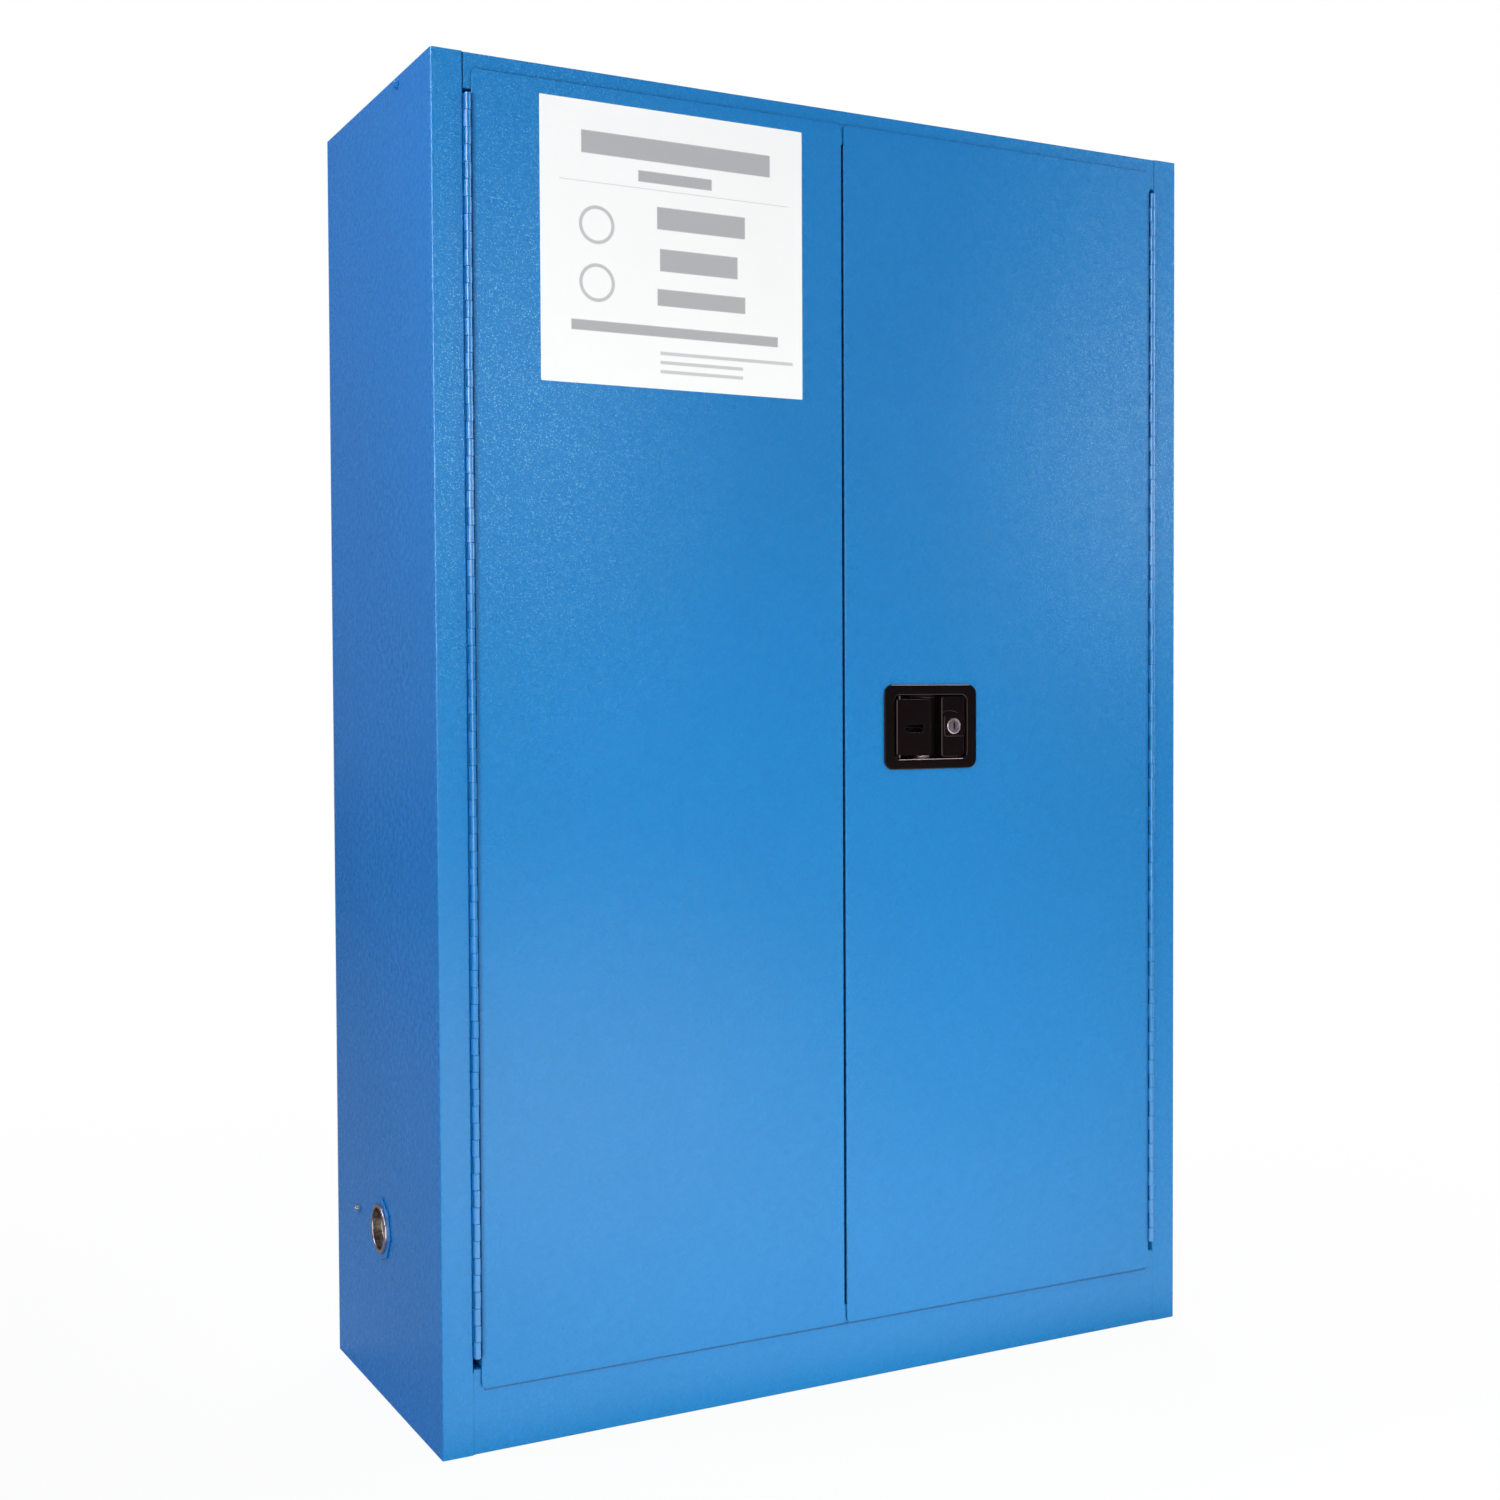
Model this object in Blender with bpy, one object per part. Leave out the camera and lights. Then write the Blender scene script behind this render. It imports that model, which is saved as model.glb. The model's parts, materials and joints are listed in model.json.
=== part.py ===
"""Two-door corrosive storage cabinet: double-walled steel shell, continuous hinges, three-point paddle
latch, bung vents, two shelves and a sump. Metres, +Z up. The origin is the middle of the base, and the
doors face -Y."""

from math import cos, pi, radians, sin, sqrt

import bmesh
import bpy
from mathutils import Matrix, Vector

# The shell
cabinet_width = 1.090
cabinet_height = 1.650
cabinet_depth = 0.460  # from the back to the front of the hinge barrels
sheet = 0.0012
bend_radius = 0.0022
fit_gap = 0.0003  # between pieces that touch
overrun = 0.010  # by which a cutter passes the piece that it cuts
air_space = 0.038
stile_width = 0.0385
return_depth = 0.032  # of the folds that line the opening
head_rail = 0.0425
sill_rail = 0.1025
back_flange = 0.020
weld_flange = 0.012

# The sump and the base
sill_height = 0.050
foot_radius = 0.016
foot_thickness = 0.008
foot_stud_radius = 0.005
foot_stud_top = 0.040
foot_inset = 0.050
foot_edge = 0.0015
base_flange = 0.026
stud_clearance = 0.001

# The continuous hinges
knuckle_count = 74
pin_radius = 0.002
leaf_thickness = 0.0015
leaf_width = 0.028
curl_steps = 4
curl_angle = radians(285)
hinge_low_gap = 0.0135
hinge_high_gap = 0.0055
pin_sides = 10

# The doors
door_standoff = 0.003  # of the door's face from the frame's
door_thickness = 0.038
door_gap = 0.003
door_low_lap = 0.024
door_high_lap = 0.0235
door_low_clearance = 0.003
door_high_clearance = 0.004
door_corner_radius = 0.0055
corner_steps = 3
meeting_flange = 0.012

# The handle: a dish pressed into a flanged plate
handle_x = 0.131
handle_z = 0.856
plate_half_width = 0.072
plate_half_height = 0.056
plate_radius = 0.013
plate_proud = 0.0027
plate_edge = 0.0012
dish_sheet = 0.0012
dish_half_width = 0.0565
dish_half_height = 0.0422
dish_radius = 0.008
dish_lip = 0.0012
dish_depth = 0.018
dish_draft = 0.0015
dish_fillet = 0.002
skin_cut_margin = 0.0025
platform_left = 0.017
platform_depth = 0.0055
platform_edge = 0.0015
boss_left = 0.021
boss_low = -0.013
boss_high = 0.0166
boss_depth = 0.0028

# The paddle in the dish
paddle_left = -0.0532
paddle_bend = 0.0
paddle_lip = 0.0077
paddle_half_height = 0.0365
paddle_depth = 0.0016
paddle_thickness = 0.0025
paddle_hook = 0.008
lip_depth = 0.0045
paddle_edge = 0.0007
pivot_x = -0.0445
pivot_depth = 0.0078
ear_inner = 0.018
ear_outer = 0.024
ear_half_width = 0.0038
punch_left = -0.038
punch_right = -0.010
punch_low = -0.007
punch_high = 0.003
tang_margin = 0.003
tang_thickness = 0.002
tang_reach = 0.0195
tang_slot_margin = 0.004
spring_wire = 0.0004
spring_radius = 0.0027
spring_turns = 5
spring_half_length = 0.012
spring_points = 6

# The lock
lock_x = 0.0377
lock_z = 0.0007
lock_radius = 0.011
lock_proud = 0.0022
lock_edge = 0.0008
barrel_body_radius = 0.0095
plug_radius = 0.0075
plug_set_back = 0.0007
key_slot_width = 0.0022
key_slot_height = 0.009
key_slot_depth = 0.009
cam_length = 0.024
cam_half_width = 0.005
cam_thickness = 0.002

# The bolt and the rods
latch_depth = 0.0255
rod_x = 0.100
rod_radius = 0.004
rod_tip = 0.0015
rod_clearance = 0.0008
latch_grip = 0.010  # of each tip in its keeper
bolt_half_height = 0.010
bolt_half_thickness = 0.003
bolt_nose = 0.003
bolt_tail_x = 0.118
rod_start = 0.028  # from the middle of the bolt
keeper_thickness = 0.002
keeper_half_length = 0.020
keeper_half_width = 0.008
strike_half_height = 0.030
strike_half_width = 0.009
guide_half_width = 0.012
guide_half_height = 0.006
guide_from_end = 0.080

# The vents, the earthing stud and the side screw
vent_back = 0.242  # from the frame's face
left_vent_z = 0.218
right_vent_below_top = 0.218
vent_octagon_radius = 0.0415
vent_octagon_turn = radians(7)
vent_flange_thickness = 0.0022
vent_flange_edge = 0.0008
vent_neck_radius = 0.0310
vent_bore_radius = 0.0285
bung_rim_radius = 0.0322
bung_rim_proud = 0.0030
bung_rim_edge = 0.0010
bung_body_radius = 0.0280
bung_cup_radius = 0.0262
bung_cup_depth = 0.012
bung_floor = 0.002
bung_bar_low = 0.006
bung_bar_high = 0.017
bung_bar_drop = 0.0055
bung_bar_thickness = 0.004
arrester_thickness = 0.002
arrester_holes = 6
arrester_hole_radius = 0.0065
arrester_pitch = 0.0170
arrester_hole_sides = 6
round_sides = 20
lock_sides = 16
small_sides = 10
earth_back = 0.345
earth_z = 0.220
earth_stud_radius = 0.003
earth_stud_proud = 0.0062
earth_head_radius = 0.006
earth_head_thickness = 0.002
earth_nut_half_flats = 0.005
earth_nut_thickness = 0.0042
screw_back = 0.130
screw_below_top = 0.010
screw_washer_radius = 0.0055
screw_washer_thickness = 0.0012
screw_head_radius = 0.0042
screw_proud = 0.0048
screw_shank_radius = 0.0025
screw_shank_length = 0.009

# The shelves and what carries them
standard_half_width = 0.011
standard_depth = 0.010
standard_sheet = 0.0015
standard_low = 0.130
standard_top_gap = 0.0375
standard_setback = 0.045
slot_count = 12
slot_half_width = 0.0016
slot_height = 0.014
bracket_sheet = 0.002
bracket_rise = 0.024
bracket_ledge = 0.022
bracket_bend = 0.003
shelf_sheet = 0.0012
shelf_rim = 0.026
shelf_front_gap = 0.012
shelf_back_gap = 0.010
shelf_side_gap = 0.0015
lower_shelf_z = 0.560
upper_shelf_z = 1.060

# Worked out from the sizes above
half_width = cabinet_width / 2
back_y = cabinet_depth / 2
opening_x = half_width - stile_width
opening_low = sill_rail
opening_high = cabinet_height - head_rail
curl_step = curl_angle / curl_steps
bore_radius = (pin_radius + fit_gap) / cos(curl_step / 2)
barrel_radius = bore_radius + leaf_thickness
hinge_x = opening_x - fit_gap - barrel_radius
hinge_y = barrel_radius - back_y
hinge_low = opening_low + hinge_low_gap
hinge_high = opening_high - hinge_high_gap
knuckle_pitch = (hinge_high - hinge_low) / knuckle_count
door_y = hinge_y
frame_y = door_y + door_standoff
return_y = frame_y + return_depth
inner_back_y = back_y - air_space
door_outer_x = hinge_x - barrel_radius - fit_gap
door_inner_x = door_gap / 2
door_low = opening_low - door_low_lap
door_high = opening_high + door_high_lap
box_low = opening_low + door_low_clearance
box_high = opening_high - door_high_clearance
liner_y = door_y + door_thickness
liner_front_y = door_y + bend_radius + fit_gap
liner_outer_x = door_outer_x - sheet - fit_gap
liner_inner_x = door_inner_x + sheet + fit_gap
sump_floor = opening_low - sill_height
base_z = foot_thickness + fit_gap
plate_y = door_y - plate_proud
latch_y = door_y + latch_depth
bolt_tip_x = -door_inner_x - latch_grip
vent_y = frame_y + vent_back
neck_end_x = opening_x + sheet + fit_gap
bung_seat_x = half_width + fit_gap + vent_flange_thickness + fit_gap
right_vent_z = cabinet_height - right_vent_below_top
screw_z = cabinet_height - screw_below_top
standard_high = opening_high - standard_top_gap


def clear_scene():
    for thing in list(bpy.data.objects):
        bpy.data.objects.remove(thing, do_unlink=True)


def make_material(name, colour, roughness, metallic):
    material = bpy.data.materials.new(name)
    material.use_nodes = True
    shader = material.node_tree.nodes["Principled BSDF"]
    shader.inputs["Base Color"].default_value = (*colour, 1)
    shader.inputs["Roughness"].default_value = roughness
    shader.inputs["Metallic"].default_value = metallic
    return material


def add_joint_axis(name, place):
    """An empty on a joint's axis, to which the moving pieces are parented."""
    axis = bpy.data.objects.new(name, None)
    axis.location = place
    axis.empty_display_size = stile_width
    bpy.context.scene.collection.objects.link(axis)
    return axis


def place_object(name, mesh_data, material, carrier=None):
    mesh = bpy.data.meshes.new(name)
    mesh_data.to_mesh(mesh)
    mesh_data.free()
    mesh.materials.append(material)
    piece = bpy.data.objects.new(name, mesh)
    bpy.context.scene.collection.objects.link(piece)
    if carrier:
        piece.parent = carrier
        piece.matrix_parent_inverse = Matrix.Translation(-Vector(carrier.location))
    return piece


def shade_round(piece):
    piece.data.shade_smooth()
    piece.data.set_sharp_from_angle(angle=radians(40))
    return piece


def thicken(piece, thickness):
    modifier = piece.modifiers.new("thickness", "SOLIDIFY")
    modifier.thickness = thickness
    modifier.offset = -1
    modifier.use_even_offset = True
    modifier.use_quality_normals = True
    return piece


def combine(piece, tool, operation="DIFFERENCE"):
    """Cuts the tool from the piece, or adds it. The tool stays in the scene as a hidden helper."""
    tool.hide_render = True
    tool.display_type = "WIRE"
    modifier = piece.modifiers.new(tool.name, "BOOLEAN")
    modifier.operation = operation
    modifier.object = tool
    return piece


def face_away_from(mesh_data, inside):
    """Turns an open sheet's faces so that the widest one looks away from a point."""
    bmesh.ops.recalc_face_normals(mesh_data, faces=mesh_data.faces)
    widest = max(mesh_data.faces, key=lambda face: face.calc_area())
    if widest.normal.dot(widest.calc_center_median() - Vector(inside)) < 0:
        bmesh.ops.reverse_faces(mesh_data, faces=mesh_data.faces)


def round_folds(mesh_data, radius, steps=2):
    mesh_data.normal_update()
    folds = [edge for edge in mesh_data.edges if len(edge.link_faces) == 2]
    folds = [edge for edge in folds if edge.calc_face_angle() > radians(20)]
    bmesh.ops.bevel(
        mesh_data, geom=folds, offset=radius, segments=steps, affect="EDGES", profile=0.5
    )


def folded_strip(name, path, sweep, inside, thickness, material, carrier=None, radius=bend_radius):
    """A strip of sheet folded along a path of points and swept straight. The path is its outer face."""
    mesh_data = bmesh.new()
    near = [mesh_data.verts.new(point) for point in path]
    far = [mesh_data.verts.new(Vector(point) + Vector(sweep)) for point in path]
    for i in range(len(path) - 1):
        mesh_data.faces.new((near[i], near[i + 1], far[i + 1], far[i]))
    face_away_from(mesh_data, inside)
    round_folds(mesh_data, radius)
    return thicken(place_object(name, mesh_data, material, carrier), thickness)


def add_box(mesh_data, low, high):
    low, high = Vector(low), Vector(high)
    made = bmesh.ops.create_cube(mesh_data, size=1)
    bmesh.ops.scale(mesh_data, vec=high - low, verts=made["verts"])
    bmesh.ops.translate(mesh_data, vec=(low + high) / 2, verts=made["verts"])


def box_mesh(low, high):
    mesh_data = bmesh.new()
    add_box(mesh_data, low, high)
    return mesh_data


def pan(name, low, high, open_way, thickness, material, carrier=None):
    """A sheet box without the side that looks open_way."""
    mesh_data = box_mesh(low, high)
    mesh_data.normal_update()
    gone = [face for face in mesh_data.faces if face.normal.dot(Vector(open_way)) > 0.5]
    bmesh.ops.delete(mesh_data, geom=gone, context="FACES")
    round_folds(mesh_data, bend_radius, 1)
    return thicken(place_object(name, mesh_data, material, carrier), thickness)


def block(name, low, high, material, carrier=None, edge=0):
    mesh_data = box_mesh(low, high)
    if edge:
        bmesh.ops.bevel(
            mesh_data, geom=mesh_data.edges, offset=edge, segments=2, affect="EDGES", profile=0.5
        )
    return place_object(name, mesh_data, material, carrier)


def prism(name, outline, sweep, material, carrier=None, edge=0):
    """A closed outline swept straight into a solid, with its edges broken by a small bevel."""
    mesh_data = bmesh.new()
    base = mesh_data.faces.new([mesh_data.verts.new(point) for point in outline])
    grown = bmesh.ops.extrude_face_region(mesh_data, geom=[base])
    moved = [item for item in grown["geom"] if isinstance(item, bmesh.types.BMVert)]
    bmesh.ops.translate(mesh_data, vec=sweep, verts=moved)
    bmesh.ops.recalc_face_normals(mesh_data, faces=mesh_data.faces)
    if edge:
        mesh_data.normal_update()
        sharp = [item for item in mesh_data.edges if item.calc_face_angle() > radians(25)]
        bmesh.ops.bevel(
            mesh_data, geom=sharp, offset=edge, segments=2, affect="EDGES", profile=0.5
        )
    return place_object(name, mesh_data, material, carrier)


def turned(name, profile, start, axis, sides, material, carrier=None, closed=False):
    """A profile of (radius, distance along the axis) pairs, spun round the axis."""
    axis = Vector(axis).normalized()
    outward = axis.orthogonal().normalized()
    mesh_data = bmesh.new()
    points = [mesh_data.verts.new(Vector(start) + outward * r + axis * t) for r, t in profile]
    pairs = list(zip(points, points[1:]))
    if closed:
        pairs.append((points[-1], points[0]))
    edges = [mesh_data.edges.new(pair) for pair in pairs]
    bmesh.ops.spin(
        mesh_data, geom=points + edges, cent=start, axis=axis, angle=2 * pi, steps=sides, use_merge=True
    )
    bmesh.ops.remove_doubles(mesh_data, verts=mesh_data.verts, dist=fit_gap / 100)
    bmesh.ops.recalc_face_normals(mesh_data, faces=mesh_data.faces)
    return shade_round(place_object(name, mesh_data, material, carrier))


def rod(name, start, axis, radius, length, sides, material, carrier=None, edge=0):
    profile = [(0, 0), (radius - edge, 0), (radius, edge), (radius, length - edge)]
    profile += [(radius - edge, length), (0, length)]
    if not edge:
        profile = [(0, 0), (radius, 0), (radius, length), (0, length)]
    return turned(name, profile, start, axis, sides, material, carrier)


def rounded_outline(half_x, half_z, radius, y, centre):
    """Points of a rectangle with round corners in a plane of constant y."""
    points = []
    for quarter in range(4):
        corner_x = (half_x - radius) * (1 if quarter in (0, 3) else -1)
        corner_z = (half_z - radius) * (1 if quarter in (0, 1) else -1)
        for step in range(corner_steps + 1):
            angle = (quarter + step / corner_steps) * pi / 2
            x = corner_x + radius * cos(angle)
            z = corner_z + radius * sin(angle)
            points.append(Vector((centre[0] + x, y, centre[1] + z)))
    return points


def loft(mesh_data, outlines):
    """Joins outlines of equal length with quads, and returns the last one's vertices."""
    rows = [[mesh_data.verts.new(point) for point in outline] for outline in outlines]
    for row, after in zip(rows, rows[1:]):
        for i in range(len(row)):
            k = (i + 1) % len(row)
            mesh_data.faces.new((row[i], row[k], after[k], after[i]))
    return rows[-1]


def side_path(side, places):
    """Points given as (distance from the middle, y), for the left (-1) or the right (1) of the cabinet."""
    return [(side * x, y, 0) for x, y in places]


# The shell


def side_panel(name, side, vent_z, material):
    """The side skin folded round the front as the stile, and back into the opening."""
    places = [(opening_x, return_y), (opening_x, frame_y), (half_width, frame_y)]
    places += [(half_width, back_y), (half_width - back_flange, back_y)]
    inside = (side * (half_width - stile_width / 2), 0, cabinet_height / 2)
    panel = folded_strip(
        name, side_path(side, places), (0, 0, cabinet_height), inside, sheet, material
    )
    xs = sorted((side * (opening_x - overrun), side * (opening_x + sheet + fit_gap)))
    low = (xs[0], frame_y + bend_radius, cabinet_height - sheet - fit_gap)
    high = (xs[1], return_y + overrun, cabinet_height + overrun)
    combine(panel, block(name + "_top_relief", low, high, material))
    hole_radius = vent_neck_radius + fit_gap
    return combine(panel, cross_hole(name + "_vent_hole", side, vent_z, hole_radius, material))


def cross_hole(name, side, z, radius, material, y=vent_y, sides=round_sides):
    """A cutter along X through one side of the shell."""
    start = (side * (opening_x - overrun), y, z)
    length = stile_width + 2 * overrun
    return rod(name, start, (side, 0, 0), radius, length, sides, material)


def top_panel(material):
    """The top sheet, set in between the side skins, with the head rail folded down at its front."""
    wide = half_width - sheet - fit_gap
    front = opening_x - fit_gap
    rear = half_width - back_flange - fit_gap
    notch_front = frame_y + bend_radius + fit_gap
    notch_back = back_y - bend_radius - fit_gap
    top = cabinet_height
    half = [(front, frame_y), (front, notch_front), (wide, notch_front)]
    half += [(wide, notch_back), (rear, notch_back), (rear, back_y)]
    mesh_data = bmesh.new()
    right = [mesh_data.verts.new((x, y, top)) for x, y in half]
    left = [mesh_data.verts.new((-x, y, top)) for x, y in half]
    mesh_data.faces.new(right + left[::-1])
    face = [mesh_data.verts.new((x, frame_y, opening_high)) for x in (front, -front)]
    mesh_data.faces.new((right[0], left[0], face[1], face[0]))
    fold = [mesh_data.verts.new((x, return_y, opening_high)) for x in (front, -front)]
    mesh_data.faces.new((face[0], face[1], fold[1], fold[0]))
    tail = [mesh_data.verts.new((x, back_y, top - back_flange)) for x in (rear, -rear)]
    mesh_data.faces.new((left[-1], right[-1], tail[0], tail[1]))
    face_away_from(mesh_data, (0, 0, top - head_rail / 2))
    round_folds(mesh_data, bend_radius)
    panel = thicken(place_object("top_panel", mesh_data, material), sheet)
    return combine(panel, rod_hole("head_rod_hole", opening_high, material))


def rod_hole(name, z, material):
    start = (rod_x, latch_y, z - overrun)
    return rod(name, start, (0, 0, 1), rod_radius + rod_clearance, 2 * overrun, small_sides, material)


def bottom_rail(material):
    """The rail under the doors. Its upper fold is the sill of the opening."""
    front = opening_x - fit_gap
    path = [(-front, return_y, opening_low), (-front, frame_y, opening_low)]
    path += [(-front, frame_y, 0), (-front, return_y, 0)]
    inside = (0, return_y, opening_low / 2)
    rail = folded_strip("bottom_rail", path, (2 * front, 0, 0), inside, sheet, material)
    return combine(rail, rod_hole("sill_rod_hole", opening_low, material))


def back_panel(material):
    wide = half_width - back_flange - fit_gap
    high = cabinet_height - back_flange - fit_gap
    low_corner = (-wide, back_y - weld_flange, 0)
    return pan("back_panel", low_corner, (wide, back_y, high), (0, -1, 0), sheet, material)


def foot_places():
    front = return_y + foot_inset
    rear = back_y - foot_inset
    side = half_width - foot_inset
    return {
        "front_left": (-side, front),
        "front_right": (side, front),
        "rear_left": (-side, rear),
        "rear_right": (side, rear),
    }


def base_panel(material):
    low_corner = (-half_width + sheet + fit_gap, return_y + fit_gap, base_z)
    high_corner = (half_width - sheet - fit_gap, back_y - weld_flange - fit_gap, base_z + base_flange)
    base = pan("base_panel", low_corner, high_corner, (0, 0, 1), sheet, material)
    for corner, (x, y) in foot_places().items():
        start = (x, y, base_z - overrun)
        radius = foot_stud_radius + stud_clearance
        hole = rod(corner + "_foot_hole", start, (0, 0, 1), radius, 2 * overrun, small_sides, material)
        combine(base, hole)
    return base


def levelling_foot(corner, x, y, material):
    """A turned pad on a threaded stud, screwed home."""
    place = (x, y, 0)
    carrier = add_joint_axis(corner + "_foot_axis", place)
    profile = [(0, 0), (foot_radius - foot_edge, 0), (foot_radius, foot_edge)]
    profile += [(foot_radius, foot_thickness - foot_edge), (foot_radius - foot_edge, foot_thickness)]
    profile += [(foot_stud_radius, foot_thickness), (foot_stud_radius, foot_stud_top), (0, foot_stud_top)]
    return turned(
        corner + "_levelling_foot", profile, place, (0, 0, 1), small_sides, material, carrier
    )


# The inner shell


def inner_side_wall(name, side, vent_z, material):
    places = [(opening_x, return_y + fit_gap), (opening_x, inner_back_y)]
    places += [(opening_x + weld_flange, inner_back_y)]
    path = [(x, y, opening_low + fit_gap) for x, y, _ in side_path(side, places)]
    inside = (side * half_width, 0, cabinet_height / 2)
    sweep = (0, 0, opening_high - opening_low - fit_gap)
    wall = folded_strip(name, path, sweep, inside, sheet, material)
    return combine(wall, cross_hole(name + "_vent_hole", side, vent_z, vent_bore_radius, material))


def inner_back_wall(material):
    wide = opening_x - fit_gap
    places = [(-wide, inner_back_y + weld_flange), (-wide, inner_back_y)]
    places += [(wide, inner_back_y), (wide, inner_back_y + weld_flange)]
    path = [(x, y, opening_low + fit_gap) for x, y in places]
    sweep = (0, 0, opening_high - opening_low - fit_gap)
    return folded_strip("inner_back_wall", path, sweep, (0, back_y, cabinet_height / 2), sheet, material)


def inner_ceiling(material):
    wide = opening_x - fit_gap
    path = [(-wide, return_y + fit_gap, opening_high), (-wide, inner_back_y - fit_gap, opening_high)]
    path += [(-wide, inner_back_y - fit_gap, opening_high + weld_flange)]
    inside = (0, 0, cabinet_height)
    return folded_strip("inner_ceiling", path, (2 * wide, 0, 0), inside, sheet, material)


def sump_tray(material):
    """The leak-proof pan behind the sill."""
    wide = opening_x + sheet
    low_corner = (-wide, return_y + fit_gap, sump_floor)
    high_corner = (wide, inner_back_y + sheet, opening_low)
    return pan("sump_tray", low_corner, high_corner, (0, 0, 1), sheet, material)


# The shelves


def shelf_standard(name, side, y, material):
    """A slotted channel against the inner wall: its web faces the shelf, its flanges reach the wall."""
    wall_x = opening_x - fit_gap
    web_x = wall_x - standard_depth
    path = [(side * wall_x, y - standard_half_width), (side * web_x, y - standard_half_width)]
    path += [(side * web_x, y + standard_half_width), (side * wall_x, y + standard_half_width)]
    path = [(x, depth, standard_low) for x, depth in path]
    inside = (side * wall_x, y, standard_low)
    sweep = (0, 0, standard_high - standard_low)
    channel = folded_strip(name, path, sweep, inside, standard_sheet, material)
    xs = sorted((side * (web_x - overrun), side * (web_x + standard_depth / 2)))
    slots = bmesh.new()
    pitch = (standard_high - standard_low) / slot_count
    for i in range(slot_count):
        low_z = standard_low + (i + 0.5) * pitch - slot_height / 2
        low = (xs[0], y - slot_half_width, low_z)
        add_box(slots, low, (xs[1], y + slot_half_width, low_z + slot_height))
    return combine(channel, place_object(name + "_slots", slots, material))


def standard_places():
    return {"front": return_y + standard_setback, "rear": inner_back_y - standard_setback}


def bracket_face_x():
    return opening_x - standard_depth - 2 * fit_gap


def shelf_bracket(name, side, shelf_z, material):
    """An angle from the front standard to the rear one, whose ledge the shelf lies on."""
    places = standard_places()
    start_y = places["front"] - standard_half_width
    length = places["rear"] + standard_half_width - start_y
    ledge_z = shelf_z - fit_gap
    wall_x = bracket_face_x()
    path = [(side * (wall_x - bracket_ledge), start_y, ledge_z - bracket_sheet)]
    path += [(side * wall_x, start_y, ledge_z - bracket_sheet)]
    path += [(side * wall_x, start_y, ledge_z + bracket_rise)]
    inside = (0, 0, ledge_z + cabinet_height)
    return folded_strip(
        name, path, (0, length, 0), inside, bracket_sheet, material, None, bracket_bend
    )


def shelf(name, shelf_z, material):
    wide = bracket_face_x() - bracket_sheet - shelf_side_gap
    carrier = add_joint_axis(name + "_lift", (0, 0, shelf_z))
    low_corner = (-wide, liner_y + shelf_front_gap, shelf_z)
    high_corner = (wide, inner_back_y - shelf_back_gap, shelf_z + shelf_rim)
    return pan(name, low_corner, high_corner, (0, 0, 1), shelf_sheet, material, carrier)


# The continuous hinges


def hinge_leaf(name, side, towards_door, first_knuckle, material, carrier=None):
    """A comb of sheet with every other finger rolled round the pin. The other leaf's turn in the gaps."""
    across = -side if towards_door else side
    axis = Vector((side * hinge_x, hinge_y, 0))
    notch = barrel_radius + fit_gap + leaf_thickness / 2
    mesh_data = bmesh.new()

    def point(radius, depth, z):
        return mesh_data.verts.new(axis + Vector((across * radius, depth, z)))

    outer, inner = [], []
    for i in range(knuckle_count):
        low = hinge_low + i * knuckle_pitch
        high = low + knuckle_pitch
        own = i % 2 == first_knuckle
        if own:
            ends = (low + fit_gap / 2, high - fit_gap / 2)
        else:
            ends = (low - fit_gap / 2, high + fit_gap / 2)
        ends = (max(ends[0], hinge_low), min(ends[1], hinge_high))
        depth = 0 if own else notch
        outer.append([point(barrel_radius, depth, z) for z in ends])
        inner.append([point(bore_radius, depth, z) for z in ends])
        if own:
            roll_knuckle(mesh_data, axis, across, outer[-1], inner[-1])
    edge_outer = [vert for pair in outer for vert in pair]
    edge_inner = [vert for pair in inner for vert in pair]
    far_outer = [point(barrel_radius, leaf_width, z) for z in (hinge_high, hinge_low)]
    far_inner = [point(bore_radius, leaf_width, z) for z in (hinge_high, hinge_low)]
    ring_outer = edge_outer + far_outer
    ring_inner = edge_inner + far_inner
    mesh_data.faces.new(ring_outer)
    mesh_data.faces.new(ring_inner[::-1])
    for i in range(len(ring_outer)):
        k = (i + 1) % len(ring_outer)
        rolled = i < len(edge_outer) and i % 2 == 0 and (i // 2) % 2 == first_knuckle
        if not rolled:
            mesh_data.faces.new((ring_outer[i], ring_inner[i], ring_inner[k], ring_outer[k]))
    bmesh.ops.recalc_face_normals(mesh_data, faces=mesh_data.faces)
    return shade_round(place_object(name, mesh_data, material, carrier))


def roll_knuckle(mesh_data, axis, across, outer_start, inner_start):
    """The rolled finger, from the leaf's face at the pin's side round the front to its end behind."""
    rows = [(outer_start, inner_start)]
    for step in range(1, curl_steps + 1):
        angle = -step * curl_step
        row = []
        for radius, start in ((barrel_radius, outer_start), (bore_radius, inner_start)):
            offset = Vector((across * radius * cos(angle), radius * sin(angle), 0))
            row.append([mesh_data.verts.new(axis + offset + Vector((0, 0, end.co.z))) for end in start])
        rows.append(row)
    for (outer, inner), (next_outer, next_inner) in zip(rows, rows[1:]):
        mesh_data.faces.new((outer[0], outer[1], next_outer[1], next_outer[0]))
        mesh_data.faces.new((inner[1], inner[0], next_inner[0], next_inner[1]))
    last_outer, last_inner = rows[-1]
    mesh_data.faces.new((last_outer[0], last_outer[1], last_inner[1], last_inner[0]))
    for end in (0, 1):
        ring = [outer[end] for outer, _ in rows] + [inner[end] for _, inner in rows[::-1]]
        mesh_data.faces.new(ring)


def hinge_pin(name, side, material):
    start = (side * hinge_x, hinge_y, hinge_low)
    return rod(name, start, (0, 0, 1), pin_radius, hinge_high - hinge_low, pin_sides, material)


# The doors


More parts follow.
